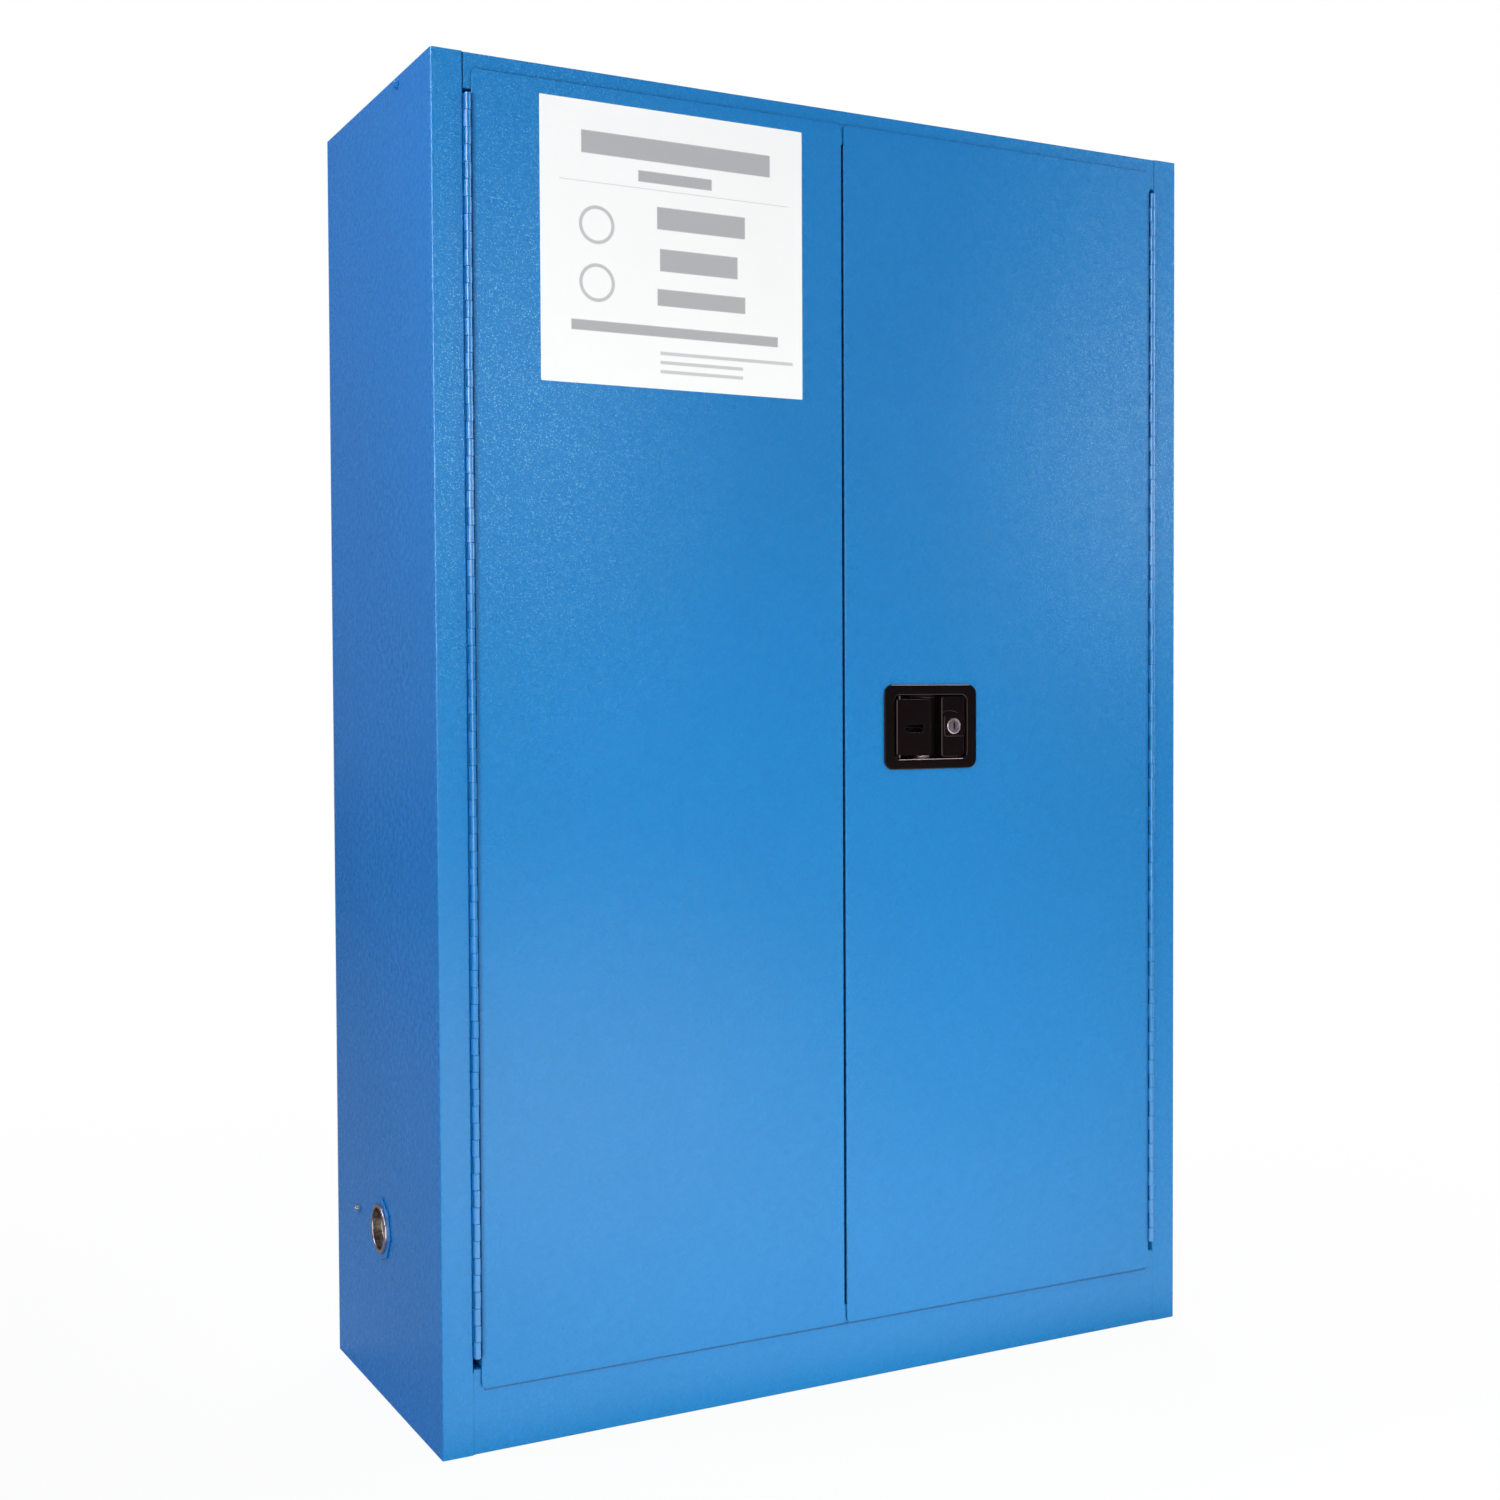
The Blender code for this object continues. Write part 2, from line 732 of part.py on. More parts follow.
def door_skin(name, side, material, carrier):
    """The door's front sheet. Its lips overlap the rails, and its side folds go back into the opening."""
    radius = door_corner_radius
    mesh_data = bmesh.new()

    def point(x, y, z):
        return mesh_data.verts.new((side * x, y, z))

    def lip(z_edge, inward):
        verts = []
        for corner_x, way in ((door_inner_x + radius, -1), (door_outer_x - radius, 1)):
            steps = range(corner_steps + 1)
            for step in steps if way < 0 else reversed(steps):
                angle = step / corner_steps * pi / 2
                x = corner_x + way * radius * cos(angle)
                z = z_edge + inward * radius * (1 - sin(angle))
                verts.append(point(x, door_y, z))
        return verts

    low_lip = lip(door_low, 1)
    high_lip = lip(door_high, -1)
    low_side = [point(x, door_y, box_low) for x in (door_inner_x, door_outer_x)]
    high_side = [point(x, door_y, box_high) for x in (door_inner_x, door_outer_x)]
    mesh_data.faces.new([low_side[0]] + low_lip + [low_side[1]])
    mesh_data.faces.new([low_side[0], low_side[1], high_side[1], high_side[0]])
    mesh_data.faces.new([high_side[1]] + high_lip[::-1] + [high_side[0]])
    for i, x, depth in ((0, door_inner_x, meeting_flange), (1, door_outer_x, return_depth)):
        fold = [point(x, door_y + depth, z) for z in (box_high, box_low)]
        mesh_data.faces.new([low_side[i], high_side[i]] + fold)
    face_away_from(mesh_data, (0, 0, cabinet_height / 2))
    round_folds(mesh_data, bend_radius)
    return thicken(place_object(name, mesh_data, material, carrier), sheet)


def door_liner(name, side, material, carrier):
    """The inner pan that closes the door's back."""
    xs = sorted((side * liner_inner_x, side * liner_outer_x))
    low_corner = (xs[0], liner_front_y, box_low)
    return pan(name, low_corner, (xs[1], liner_y, box_high), (0, -1, 0), sheet, material, carrier)


def bolt_slot(name, side, material):
    """A cutter for the slot that the centre bolt passes in a door's meeting edge."""
    clearance = rod_clearance
    reach = liner_inner_x + sheet
    xs = sorted((0, side * (reach + overrun)))
    low = (xs[0], latch_y - bolt_half_thickness - clearance, handle_z - bolt_half_height - clearance)
    high = (xs[1], latch_y + bolt_half_thickness + clearance, handle_z + bolt_half_height + clearance)
    return block(name, low, high, material)


def centre_strike(material, carrier):
    """The plate inside the left door's edge that the centre bolt holds."""
    near = -(liner_inner_x + sheet + fit_gap)
    low = (near - keeper_thickness, latch_y - strike_half_width, handle_z - strike_half_height)
    high = (near, latch_y + strike_half_width, handle_z + strike_half_height)
    plate = block("centre_strike", low, high, material, carrier)
    return combine(plate, bolt_slot("strike_slot", -1, material))


# The handle and its lock


def on_plate(x, depth, z):
    """A point of the handle: from its middle, and behind the front of its plate."""
    return Vector((handle_x + x, plate_y + depth, handle_z + z))


def handle_outline(half_x, half_z, radius, depth):
    return rounded_outline(half_x, half_z, radius, plate_y + depth, (handle_x, handle_z))


def dish_wall(depth):
    """How far the dish's wall has drawn in at a depth."""
    return dish_draft * (depth - dish_lip) / (dish_depth - dish_lip)


def handle_dish(material, carrier):
    """The pressed plate: a flat flange, and a dish with a platform for the lock."""
    edge, lip, fillet = plate_edge, dish_lip, dish_fillet
    floor_x = dish_half_width - dish_draft
    floor_z = dish_half_height - dish_draft
    outlines = [
        handle_outline(plate_half_width, plate_half_height, plate_radius, edge),
        handle_outline(plate_half_width - edge / 3, plate_half_height - edge / 3, plate_radius, edge / 3),
        handle_outline(plate_half_width - edge, plate_half_height - edge, plate_radius - edge, 0),
        handle_outline(dish_half_width + lip, dish_half_height + lip, dish_radius + lip, 0),
        handle_outline(dish_half_width + lip / 3, dish_half_height + lip / 3, dish_radius, lip / 3),
        handle_outline(dish_half_width, dish_half_height, dish_radius, lip),
        handle_outline(floor_x, floor_z, dish_radius - dish_draft, dish_depth - fillet),
        handle_outline(floor_x - fillet, floor_z - fillet, dish_radius - dish_draft, dish_depth),
    ]
    mesh_data = bmesh.new()
    mesh_data.faces.new(loft(mesh_data, outlines))
    bmesh.ops.recalc_face_normals(mesh_data, faces=mesh_data.faces)
    if max(mesh_data.faces, key=lambda face: face.calc_area()).normal.y > 0:
        bmesh.ops.reverse_faces(mesh_data, faces=mesh_data.faces)
    dish = thicken(place_object("handle_dish", mesh_data, material, carrier), dish_sheet)
    wall = dish_sheet / 2
    low = on_plate(platform_left, platform_depth, -dish_half_height + dish_wall(platform_depth) - wall)
    high = on_plate(dish_half_width - dish_wall(platform_depth) + wall, dish_depth + wall, dish_half_height)
    high.z -= dish_wall(platform_depth) - wall
    combine(dish, block("lock_platform", low, high, material, None, platform_edge), "UNION")
    low = on_plate(boss_left, boss_depth, boss_low)
    high = on_plate(dish_half_width - dish_wall(boss_depth) + wall, dish_depth, boss_high)
    combine(dish, block("lock_boss", low, high, material, None, platform_edge), "UNION")
    start = on_plate(lock_x, -overrun, lock_z)
    length = dish_depth + 2 * overrun
    radius = barrel_body_radius + fit_gap
    combine(dish, rod("lock_hole", start, (0, 1, 0), radius, length, lock_sides, material))
    low = on_plate(punch_left - tang_slot_margin, dish_depth - overrun / 2, punch_low)
    high = on_plate(punch_right + tang_slot_margin, dish_depth + overrun, punch_high)
    return shade_round(combine(dish, block("tang_slot", low, high, material)))


def handle_skin_cut(material):
    """A cutter for the hole in the door's skin that the dish passes."""
    half_x = dish_half_width + skin_cut_margin
    half_z = dish_half_height + skin_cut_margin
    outline = handle_outline(half_x, half_z, dish_radius, -overrun)
    return prism("handle_skin_hole", outline, (0, 2 * overrun, 0), material)


def paddle(material, carrier):
    """The pull plate: hooked round its pivot at the left, and bent in to a finger lip at the right."""
    front, back = paddle_depth, paddle_depth + paddle_thickness
    places = [(paddle_left, front + paddle_edge), (paddle_left + paddle_edge, front), (paddle_bend, front)]
    places += [(paddle_lip, front + lip_depth), (paddle_lip - paddle_edge, back + lip_depth)]
    places += [(paddle_bend - paddle_edge, back), (paddle_left + paddle_thickness, back)]
    places += [(paddle_left + paddle_thickness, front + paddle_hook), (paddle_left, front + paddle_hook)]
    outline = [on_plate(x, depth, -paddle_half_height) for x, depth in places]
    plate = prism("paddle", outline, (0, 0, 2 * paddle_half_height), material, carrier, paddle_edge)
    low = on_plate(punch_left, front - overrun, punch_low)
    combine(plate, block("punched_slot", low, on_plate(punch_right, front + overrun, punch_high), material))
    for way, name in ((-1, "lower_pivot_ear"), (1, "upper_pivot_ear")):
        ends = sorted((way * ear_inner, way * ear_outer))
        low = on_plate(pivot_x - ear_half_width, back - paddle_thickness / 2, ends[0])
        high = on_plate(pivot_x + ear_half_width, pivot_depth + ear_half_width, ends[1])
        combine(plate, block(name, low, high, material, None, paddle_edge), "UNION")
    start = on_plate(pivot_x, pivot_depth, -paddle_half_height + overrun / 2)
    length = 2 * paddle_half_height - overrun
    radius = pin_radius + fit_gap
    combine(plate, rod("pivot_bore", start, (0, 0, 1), radius, length, small_sides, material))
    middle = (punch_low + punch_high) / 2
    low = on_plate(punch_left + tang_margin, front + paddle_edge, middle - tang_thickness / 2)
    high = on_plate(punch_right + tang_thickness, tang_reach, middle + tang_thickness / 2)
    return combine(plate, block("tang", low, high, material), "UNION")


def paddle_pivot_pin(material, carrier):
    half = dish_half_height - dish_wall(pivot_depth) - 2 * fit_gap
    start = on_plate(pivot_x, pivot_depth, -half)
    return rod("paddle_pivot_pin", start, (0, 0, 1), pin_radius, 2 * half, small_sides, material, carrier)


def paddle_spring(material, carrier):
    """A coil round the pivot pin that returns the paddle."""
    curve = bpy.data.curves.new("paddle_spring", "CURVE")
    curve.dimensions = "3D"
    curve.bevel_depth = spring_wire
    curve.bevel_resolution = 0
    curve.use_fill_caps = True
    count = spring_turns * spring_points
    line = curve.splines.new("POLY")
    line.points.add(count)
    for i in range(count + 1):
        angle = 2 * pi * i / spring_points
        climb = spring_half_length * (2 * i / count - 1)
        place = on_plate(pivot_x, pivot_depth, climb)
        place += Vector((spring_radius * cos(angle), spring_radius * sin(angle), 0))
        line.points[i].co = (*place, 1)
    curve.materials.append(material)
    spring = bpy.data.objects.new("paddle_spring", curve)
    bpy.context.scene.collection.objects.link(spring)
    spring.parent = carrier
    spring.matrix_parent_inverse = Matrix.Translation(-Vector(carrier.location))
    return spring


def lock_barrel(material, carrier):
    seat = lock_proud - fit_gap
    end = lock_proud + dish_depth - boss_depth + dish_sheet
    bore = plug_radius + fit_gap
    profile = [(bore, 0), (lock_radius - lock_edge, 0), (lock_radius, lock_edge), (lock_radius, seat)]
    profile += [(barrel_body_radius, seat), (barrel_body_radius, end), (bore, end)]
    start = on_plate(lock_x, boss_depth - lock_proud, lock_z)
    return turned("lock_barrel", profile, start, (0, 1, 0), lock_sides, material, carrier, closed=True)


def lock_plug(material, carrier):
    start_depth = boss_depth - lock_proud + plug_set_back
    length = lock_proud + dish_depth - boss_depth + dish_sheet
    start = on_plate(lock_x, start_depth, lock_z)
    plug = rod("lock_plug", start, (0, 1, 0), plug_radius, length, lock_sides, material, carrier)
    low = on_plate(lock_x - key_slot_width / 2, -overrun, lock_z - key_slot_height / 2)
    high = on_plate(lock_x + key_slot_width / 2, start_depth + key_slot_depth, lock_z + key_slot_height / 2)
    return combine(plug, block("key_slot", low, high, material))


def lock_cam(material, carrier):
    near = dish_depth + dish_sheet + plug_set_back + fit_gap
    low = on_plate(lock_x - cam_half_width, near, lock_z - cam_length)
    high = on_plate(lock_x + cam_half_width, near + cam_thickness, lock_z + cam_half_width)
    return block("lock_cam", low, high, material, carrier)


# The bolt, the rods and their keepers


def latch_bolt(material, carrier):
    """The centre bolt, with a sloped nose that enters the left door."""
    front = latch_y - bolt_half_thickness
    back = latch_y + bolt_half_thickness
    places = [(bolt_tip_x, back), (bolt_tip_x, back - bolt_half_thickness), (bolt_tip_x + bolt_nose, front)]
    places += [(bolt_tail_x, front), (bolt_tail_x, back)]
    outline = [(x, y, handle_z - bolt_half_height) for x, y in places]
    return prism("latch_bolt", outline, (0, 0, 2 * bolt_half_height), material, carrier)


def latch_rod(name, way, end_z, material, carrier):
    start = (rod_x, latch_y, handle_z + way * rod_start)
    length = abs(end_z - start[2])
    profile = [(0, 0), (rod_radius, 0), (rod_radius, length - rod_tip), (rod_radius - rod_tip, length)]
    profile += [(0, length)]
    return turned(name, profile, start, (0, 0, way), small_sides, material, carrier)


def rod_guide(name, z, material, carrier):
    """A block on the door's liner that the rod slides through."""
    low = (rod_x - guide_half_width, latch_y - guide_half_width / 2, z - guide_half_height)
    high = (rod_x + guide_half_width, liner_y - sheet - fit_gap, z + guide_half_height)
    guide = block(name, low, high, material, carrier)
    return combine(guide, rod_hole(name + "_bore", z, material))


def rod_keeper(name, seat_z, way, material):
    """A plate behind the rail's fold that stiffens the rod's hole."""
    ends = sorted((seat_z + way * (sheet + fit_gap), seat_z + way * (sheet + fit_gap + keeper_thickness)))
    low = (rod_x - keeper_half_length, latch_y - keeper_half_width, ends[0])
    high = (rod_x + keeper_half_length, latch_y + keeper_half_width, ends[1])
    plate = block(name, low, high, material)
    return combine(plate, rod_hole(name + "_hole", seat_z, material))


# The vents, the earthing stud and the side screw


def vent_flange(name, side, z, material):
    """An octagonal flange on the outer skin, with a neck across the air space to the inner wall."""
    face_x = half_width + fit_gap
    outline = []
    for i in range(8):
        angle = vent_octagon_turn + i * pi / 4
        y = vent_y + vent_octagon_radius * cos(angle)
        outline.append((side * face_x, y, z + vent_octagon_radius * sin(angle)))
    sweep = (side * vent_flange_thickness, 0, 0)
    flange = prism(name, outline, sweep, material, None, vent_flange_edge)
    start = (side * neck_end_x, vent_y, z)
    length = face_x + vent_flange_thickness / 2 - neck_end_x
    neck = rod(name + "_neck", start, (side, 0, 0), vent_neck_radius, length, round_sides, material)
    combine(flange, neck, "UNION")
    bore = cross_hole(name + "_bore", side, z, vent_bore_radius, material)
    return shade_round(combine(flange, bore))


def vent_bung(name, side, z, material, carrier):
    """A turned steel bung: a round rim, and a cup crossed by the bar that a bung wrench grips."""
    rim, edge = bung_rim_proud, bung_rim_edge
    seat_x = bung_seat_x
    profile = [(0, -bung_cup_depth), (bung_cup_radius, -bung_cup_depth), (bung_cup_radius, rim - edge)]
    profile += [(bung_cup_radius + edge, rim), (bung_rim_radius - edge, rim), (bung_rim_radius, rim - edge)]
    end = -bung_cup_depth - bung_floor
    profile += [(bung_rim_radius, 0), (bung_body_radius, 0), (bung_body_radius, end), (0, end)]
    bung = turned(name, profile, (side * seat_x, vent_y, z), (side, 0, 0), round_sides, material, carrier)
    root = (bung_body_radius - bung_cup_radius) / 2
    low, high = bung_bar_low, bung_bar_high
    half_low = sqrt(bung_cup_radius**2 - low**2) + root
    half_high = sqrt(bung_cup_radius**2 - high**2) + root
    outline = [(-half_low, low), (half_low, low), (half_high, high), (-half_high, high)]
    bar_x = seat_x - bung_bar_drop
    places = [(side * bar_x, vent_y + y, z + up) for y, up in outline]
    bar = prism(name + "_bar", places, (-side * bung_bar_thickness, 0, 0), material)
    return combine(bung, bar, "UNION")


def flame_arrester(name, side, z, material):
    """A disc with a ring of round holes at the inner end of the neck."""
    start = (side * neck_end_x, vent_y, z)
    radius = vent_bore_radius - fit_gap
    disc = rod(name, start, (side, 0, 0), radius, arrester_thickness, round_sides, material)
    holes = bmesh.new()
    for i in range(arrester_holes):
        angle = 2 * pi * i / arrester_holes
        centre = (start[0], vent_y + arrester_pitch * cos(angle), z + arrester_pitch * sin(angle))
        bmesh.ops.create_cone(
            holes,
            cap_ends=True,
            segments=arrester_hole_sides,
            radius1=arrester_hole_radius,
            radius2=arrester_hole_radius,
            depth=2 * overrun,
            matrix=Matrix.Translation(centre) @ Matrix.Rotation(pi / 2, 4, "Y"),
        )
    return combine(disc, place_object(name + "_holes", holes, material))


def earthing_stud(material):
    start = (-half_width + sheet + earth_head_thickness + fit_gap, frame_y + earth_back, earth_z)
    inside = earth_head_thickness
    end = inside + fit_gap + sheet + earth_stud_proud
    profile = [(0, 0), (earth_head_radius, 0), (earth_head_radius, inside), (earth_stud_radius, inside)]
    profile += [(earth_stud_radius, end - earth_stud_radius / 4), (earth_stud_radius * 3 / 4, end)]
    profile += [(0, end)]
    return turned("earthing_stud", profile, start, (-1, 0, 0), small_sides, material)


def earthing_nut(material):
    centre_y = frame_y + earth_back
    radius = earth_nut_half_flats / cos(pi / 6)
    outline = []
    for i in range(6):
        angle = i * pi / 3
        y = centre_y + radius * cos(angle)
        outline.append((-half_width - fit_gap, y, earth_z + radius * sin(angle)))
    nut = prism("earthing_nut", outline, (-earth_nut_thickness, 0, 0), material)
    hole_radius = earth_stud_radius + fit_gap
    return combine(nut, cross_hole("nut_bore", -1, earth_z, hole_radius, material, centre_y, small_sides))


def side_screw(material):
    """A pan-headed screw on a washer, painted over with the side."""
    start = (-half_width + screw_shank_length, frame_y + screw_back, screw_z)
    seat = screw_shank_length + fit_gap
    washer = seat + screw_washer_thickness
    end = seat + screw_proud
    profile = [(0, 0), (screw_shank_radius, 0), (screw_shank_radius, seat), (screw_washer_radius, seat)]
    profile += [(screw_washer_radius, washer), (screw_head_radius, washer)]
    profile += [(screw_head_radius, end - screw_washer_thickness), (screw_head_radius * 3 / 4, end)]
    profile += [(0, end)]
    return turned("side_screw", profile, start, (-1, 0, 0), small_sides, material)


# The whole cabinet


def build_shell(blue, zinc, steel):
    left = side_panel("left_side_panel", -1, left_vent_z, blue)
    hole = earth_stud_radius + fit_gap
    combine(left, cross_hole("earth_hole", -1, earth_z, hole, blue, frame_y + earth_back, small_sides))
    hole = screw_shank_radius + fit_gap
    combine(left, cross_hole("screw_hole", -1, screw_z, hole, blue, frame_y + screw_back, small_sides))
    side_panel("right_side_panel", 1, right_vent_z, blue)
    top_panel(blue)
    bottom_rail(blue)
    back_panel(blue)
    base_panel(blue)
    inner_side_wall("inner_left_wall", -1, left_vent_z, blue)
    inner_side_wall("inner_right_wall", 1, right_vent_z, blue)
    inner_back_wall(blue)
    inner_ceiling(blue)
    sump_tray(blue)
    for side, name in ((-1, "left"), (1, "right")):
        for end, y in standard_places().items():
            shelf_standard(f"{name}_{end}_shelf_standard", side, y, zinc)
        shelf_bracket(f"lower_{name}_shelf_bracket", side, lower_shelf_z, zinc)
        shelf_bracket(f"upper_{name}_shelf_bracket", side, upper_shelf_z, zinc)
    rod_keeper("top_keeper", opening_high, 1, steel)
    rod_keeper("bottom_keeper", opening_low, -1, steel)
    for corner, (x, y) in foot_places().items():
        levelling_foot(corner, x, y, steel)
    shelf("lower_shelf", lower_shelf_z, zinc)
    shelf("upper_shelf", upper_shelf_z, zinc)


def build_vents(blue, steel):
    for side, name, z in ((-1, "left", left_vent_z), (1, "right", right_vent_z)):
        vent_flange(name + "_vent_flange", side, z, blue)
        flame_arrester(name + "_flame_arrester", side, z, steel)
        carrier = add_joint_axis(name + "_bung_axis", (side * bung_seat_x, vent_y, z))
        vent_bung(name + "_vent_bung", side, z, steel, carrier)
    earthing_stud(steel)
    earthing_nut(steel)
    side_screw(blue)


def build_hinge(side, name, blue, steel, carrier):
    """The same hinge on both sides, turned upside down on the right."""
    door_first = 1 if side < 0 else 0
    hinge_leaf(name + "_frame_hinge_leaf", side, False, 1 - door_first, blue)
    hinge_leaf(name + "_door_hinge_leaf", side, True, door_first, blue, carrier)
    hinge_pin(name + "_hinge_pin", side, steel)


def build_left_door(blue, steel):
    carrier = add_joint_axis("left_door_axis", (-hinge_x, hinge_y, 0))
    door_skin("left_door_skin", -1, blue, carrier)
    liner = door_liner("left_door_liner", -1, blue, carrier)
    combine(liner, bolt_slot("left_bolt_slot", -1, blue))
    centre_strike(steel, carrier)
    build_hinge(-1, "left", blue, steel, carrier)


def build_right_door(blue, black, nickel, steel):
    carrier = add_joint_axis("right_door_axis", (hinge_x, hinge_y, 0))
    skin = door_skin("right_door_skin", 1, blue, carrier)
    combine(skin, handle_skin_cut(blue))
    liner = door_liner("right_door_liner", 1, blue, carrier)
    combine(liner, bolt_slot("right_bolt_slot", 1, blue))
    combine(liner, rod_hole("upper_liner_hole", box_high, blue))
    combine(liner, rod_hole("lower_liner_hole", box_low, blue))
    build_hinge(1, "right", blue, steel, carrier)
    handle_dish(black, carrier)
    paddle_pivot_pin(steel, carrier)
    paddle_spring(steel, carrier)
    lock_barrel(nickel, carrier)
    rod_guide("upper_rod_guide", box_high - guide_from_end, steel, carrier)
    rod_guide("lower_rod_guide", box_low + guide_from_end, steel, carrier)
    paddle_axis = add_joint_axis("paddle_axis", on_plate(pivot_x, pivot_depth, 0))
    paddle(black, paddle_axis)
    lock_axis = add_joint_axis("lock_axis", on_plate(lock_x, 0, lock_z))
    lock_plug(nickel, lock_axis)
    lock_cam(steel, lock_axis)
    latch_axis = add_joint_axis("latch_axis", (rod_x, latch_y, handle_z))
    latch_bolt(steel, latch_axis)
    latch_rod("upper_rod", 1, opening_high + latch_grip, steel, latch_axis)
    latch_rod("lower_rod", -1, opening_low - latch_grip, steel, latch_axis)


def main():
    clear_scene()
    blue = make_material("blue_paint", (0.027, 0.205, 0.546), 0.42, 0)
    black = make_material("black_enamel", (0.012, 0.010, 0.011), 0.22, 0)
    nickel = make_material("nickel", (0.72, 0.69, 0.66), 0.28, 1)
    steel = make_material("steel", (0.55, 0.54, 0.52), 0.35, 1)
    zinc = make_material("galvanised_steel", (0.62, 0.64, 0.66), 0.45, 1)
    build_shell(blue, zinc, steel)
    build_vents(blue, steel)
    build_left_door(blue, steel)
    build_right_door(blue, black, nickel, steel)


main()
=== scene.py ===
# %% [markdown]
# # A steel cabinet for corrosive liquids
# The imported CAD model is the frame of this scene: it gives every piece its place, and the doors, the
# shelves and the latch move as it says. This file gives the cabinet its looks. It paints the sheet steel,
# rolls the knuckles of the long hinges, and finishes the pull handle, the vents and the small hardware.
# Everything is in metres, +Z is up, and the doors face -Y.

import json
from functools import reduce
from math import cos, pi, radians, sin, sqrt

import bmesh
import bpy
from mathutils import Matrix, Vector


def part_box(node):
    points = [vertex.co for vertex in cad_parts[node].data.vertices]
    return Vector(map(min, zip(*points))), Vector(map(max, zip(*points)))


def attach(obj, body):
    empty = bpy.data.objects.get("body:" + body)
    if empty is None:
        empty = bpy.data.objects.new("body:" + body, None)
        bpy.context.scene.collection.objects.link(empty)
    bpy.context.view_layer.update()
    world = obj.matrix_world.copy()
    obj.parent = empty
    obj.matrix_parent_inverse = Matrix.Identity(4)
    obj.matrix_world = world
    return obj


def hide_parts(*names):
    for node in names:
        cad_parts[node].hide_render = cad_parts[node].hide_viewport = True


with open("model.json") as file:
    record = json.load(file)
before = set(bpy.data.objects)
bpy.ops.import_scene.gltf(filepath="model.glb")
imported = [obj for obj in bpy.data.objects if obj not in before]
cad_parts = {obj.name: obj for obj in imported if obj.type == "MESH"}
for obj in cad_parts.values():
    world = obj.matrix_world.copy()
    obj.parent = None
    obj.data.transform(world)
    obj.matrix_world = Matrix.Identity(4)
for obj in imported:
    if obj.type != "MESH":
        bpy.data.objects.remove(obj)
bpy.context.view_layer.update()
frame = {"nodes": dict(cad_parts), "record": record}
scene = bpy.context.scene

# %% [markdown]
# ## Places to build on
# Each piece made here sits on a CAD node, so its place is read from that node's box and never typed twice.
# The doors' faces, the opening between the stiles, the hinge axis and the handle's plate are needed more than
# once. Only the head rail's height is typed: it is a fold of the top panel, so no box gives it.

# %% Places read from the CAD
low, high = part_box("right_door_skin")
door_face_y, door_edge_x = low[1], high[0]
door_low, door_high = low[2], high[2]
low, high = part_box("left_side_panel")
half_width = -low[0]
frame_face_y = low[1]
cabinet_height = high[2]
opening_x = -high[0]
head_rail = 0.0425
low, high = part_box("right_hinge_pin")
hinge_axis = Vector(((low[0] + high[0]) / 2, (low[1] + high[1]) / 2, 0))
hinge_low, hinge_high = low[2], high[2]
pin_radius = (high[1] - low[1]) / 2
low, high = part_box("bottom_rail")
opening_low = high[2]
low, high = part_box("handle_dish")
handle_x, handle_z = (low[0] + high[0]) / 2, (low[2] + high[2]) / 2
plate_y = low[1]
plate_half = ((high[0] - low[0]) / 2, (high[2] - low[2]) / 2)
print("handle at", round(handle_x, 4), round(handle_z, 4), "hinge axis", [round(v, 4) for v in hinge_axis])

# %% [markdown]
# ## Tools for shapes
# Every piece made here is a bmesh that becomes an object in one place. Most pieces are rows of points with
# faces between the rows: a pressing, a bent plate and a nut are such skins, and a loft also closes both
# ends. So a shape is written as its outlines, and a change of an outline changes the whole piece.


# %% Skins, lofts and blocks
def new_piece(name, mesh_data, recalculate=True):
    if recalculate:
        bmesh.ops.recalc_face_normals(mesh_data, faces=mesh_data.faces)
    mesh = bpy.data.meshes.new(name)
    mesh_data.to_mesh(mesh)
    mesh_data.free()
    piece = bpy.data.objects.new(name, mesh)
    scene.collection.objects.link(piece)
    return piece


def skin(mesh_data, rows, around=True):
    """Puts faces between rows of corners. A row that goes around is closed on itself."""
    for row, after in zip(rows, rows[1:]):
        for i in range(len(row) if around else len(row) - 1):
            k = (i + 1) % len(row)
            mesh_data.faces.new((row[i], row[k], after[k], after[i]))


def loft(name, outlines, first_cap=True):
    """A skin through closed outlines, with a face on the last one and, if asked, on the first."""
    mesh_data = bmesh.new()
    rows = [[mesh_data.verts.new(point) for point in outline] for outline in outlines]
    skin(mesh_data, rows)
    if first_cap:
        mesh_data.faces.new(rows[0])
    mesh_data.faces.new(rows[-1])
    return new_piece(name, mesh_data)


def block(name, size, centre):
    mesh_data = bmesh.new()
    made = bmesh.ops.create_cube(mesh_data, size=1)
    bmesh.ops.scale(mesh_data, vec=size, verts=made["verts"])
    bmesh.ops.translate(mesh_data, vec=centre, verts=made["verts"])
    return new_piece(name, mesh_data)


# %% [markdown]
# ## A helper for finishes
# A material is a graph of nodes. Writing its maths as plain Python keeps it readable, so a small class
# wraps a socket and lets +, -, * and / add Math nodes. A second class owns one material: its node() method
# adds any other node from its type, its settings and its inputs.


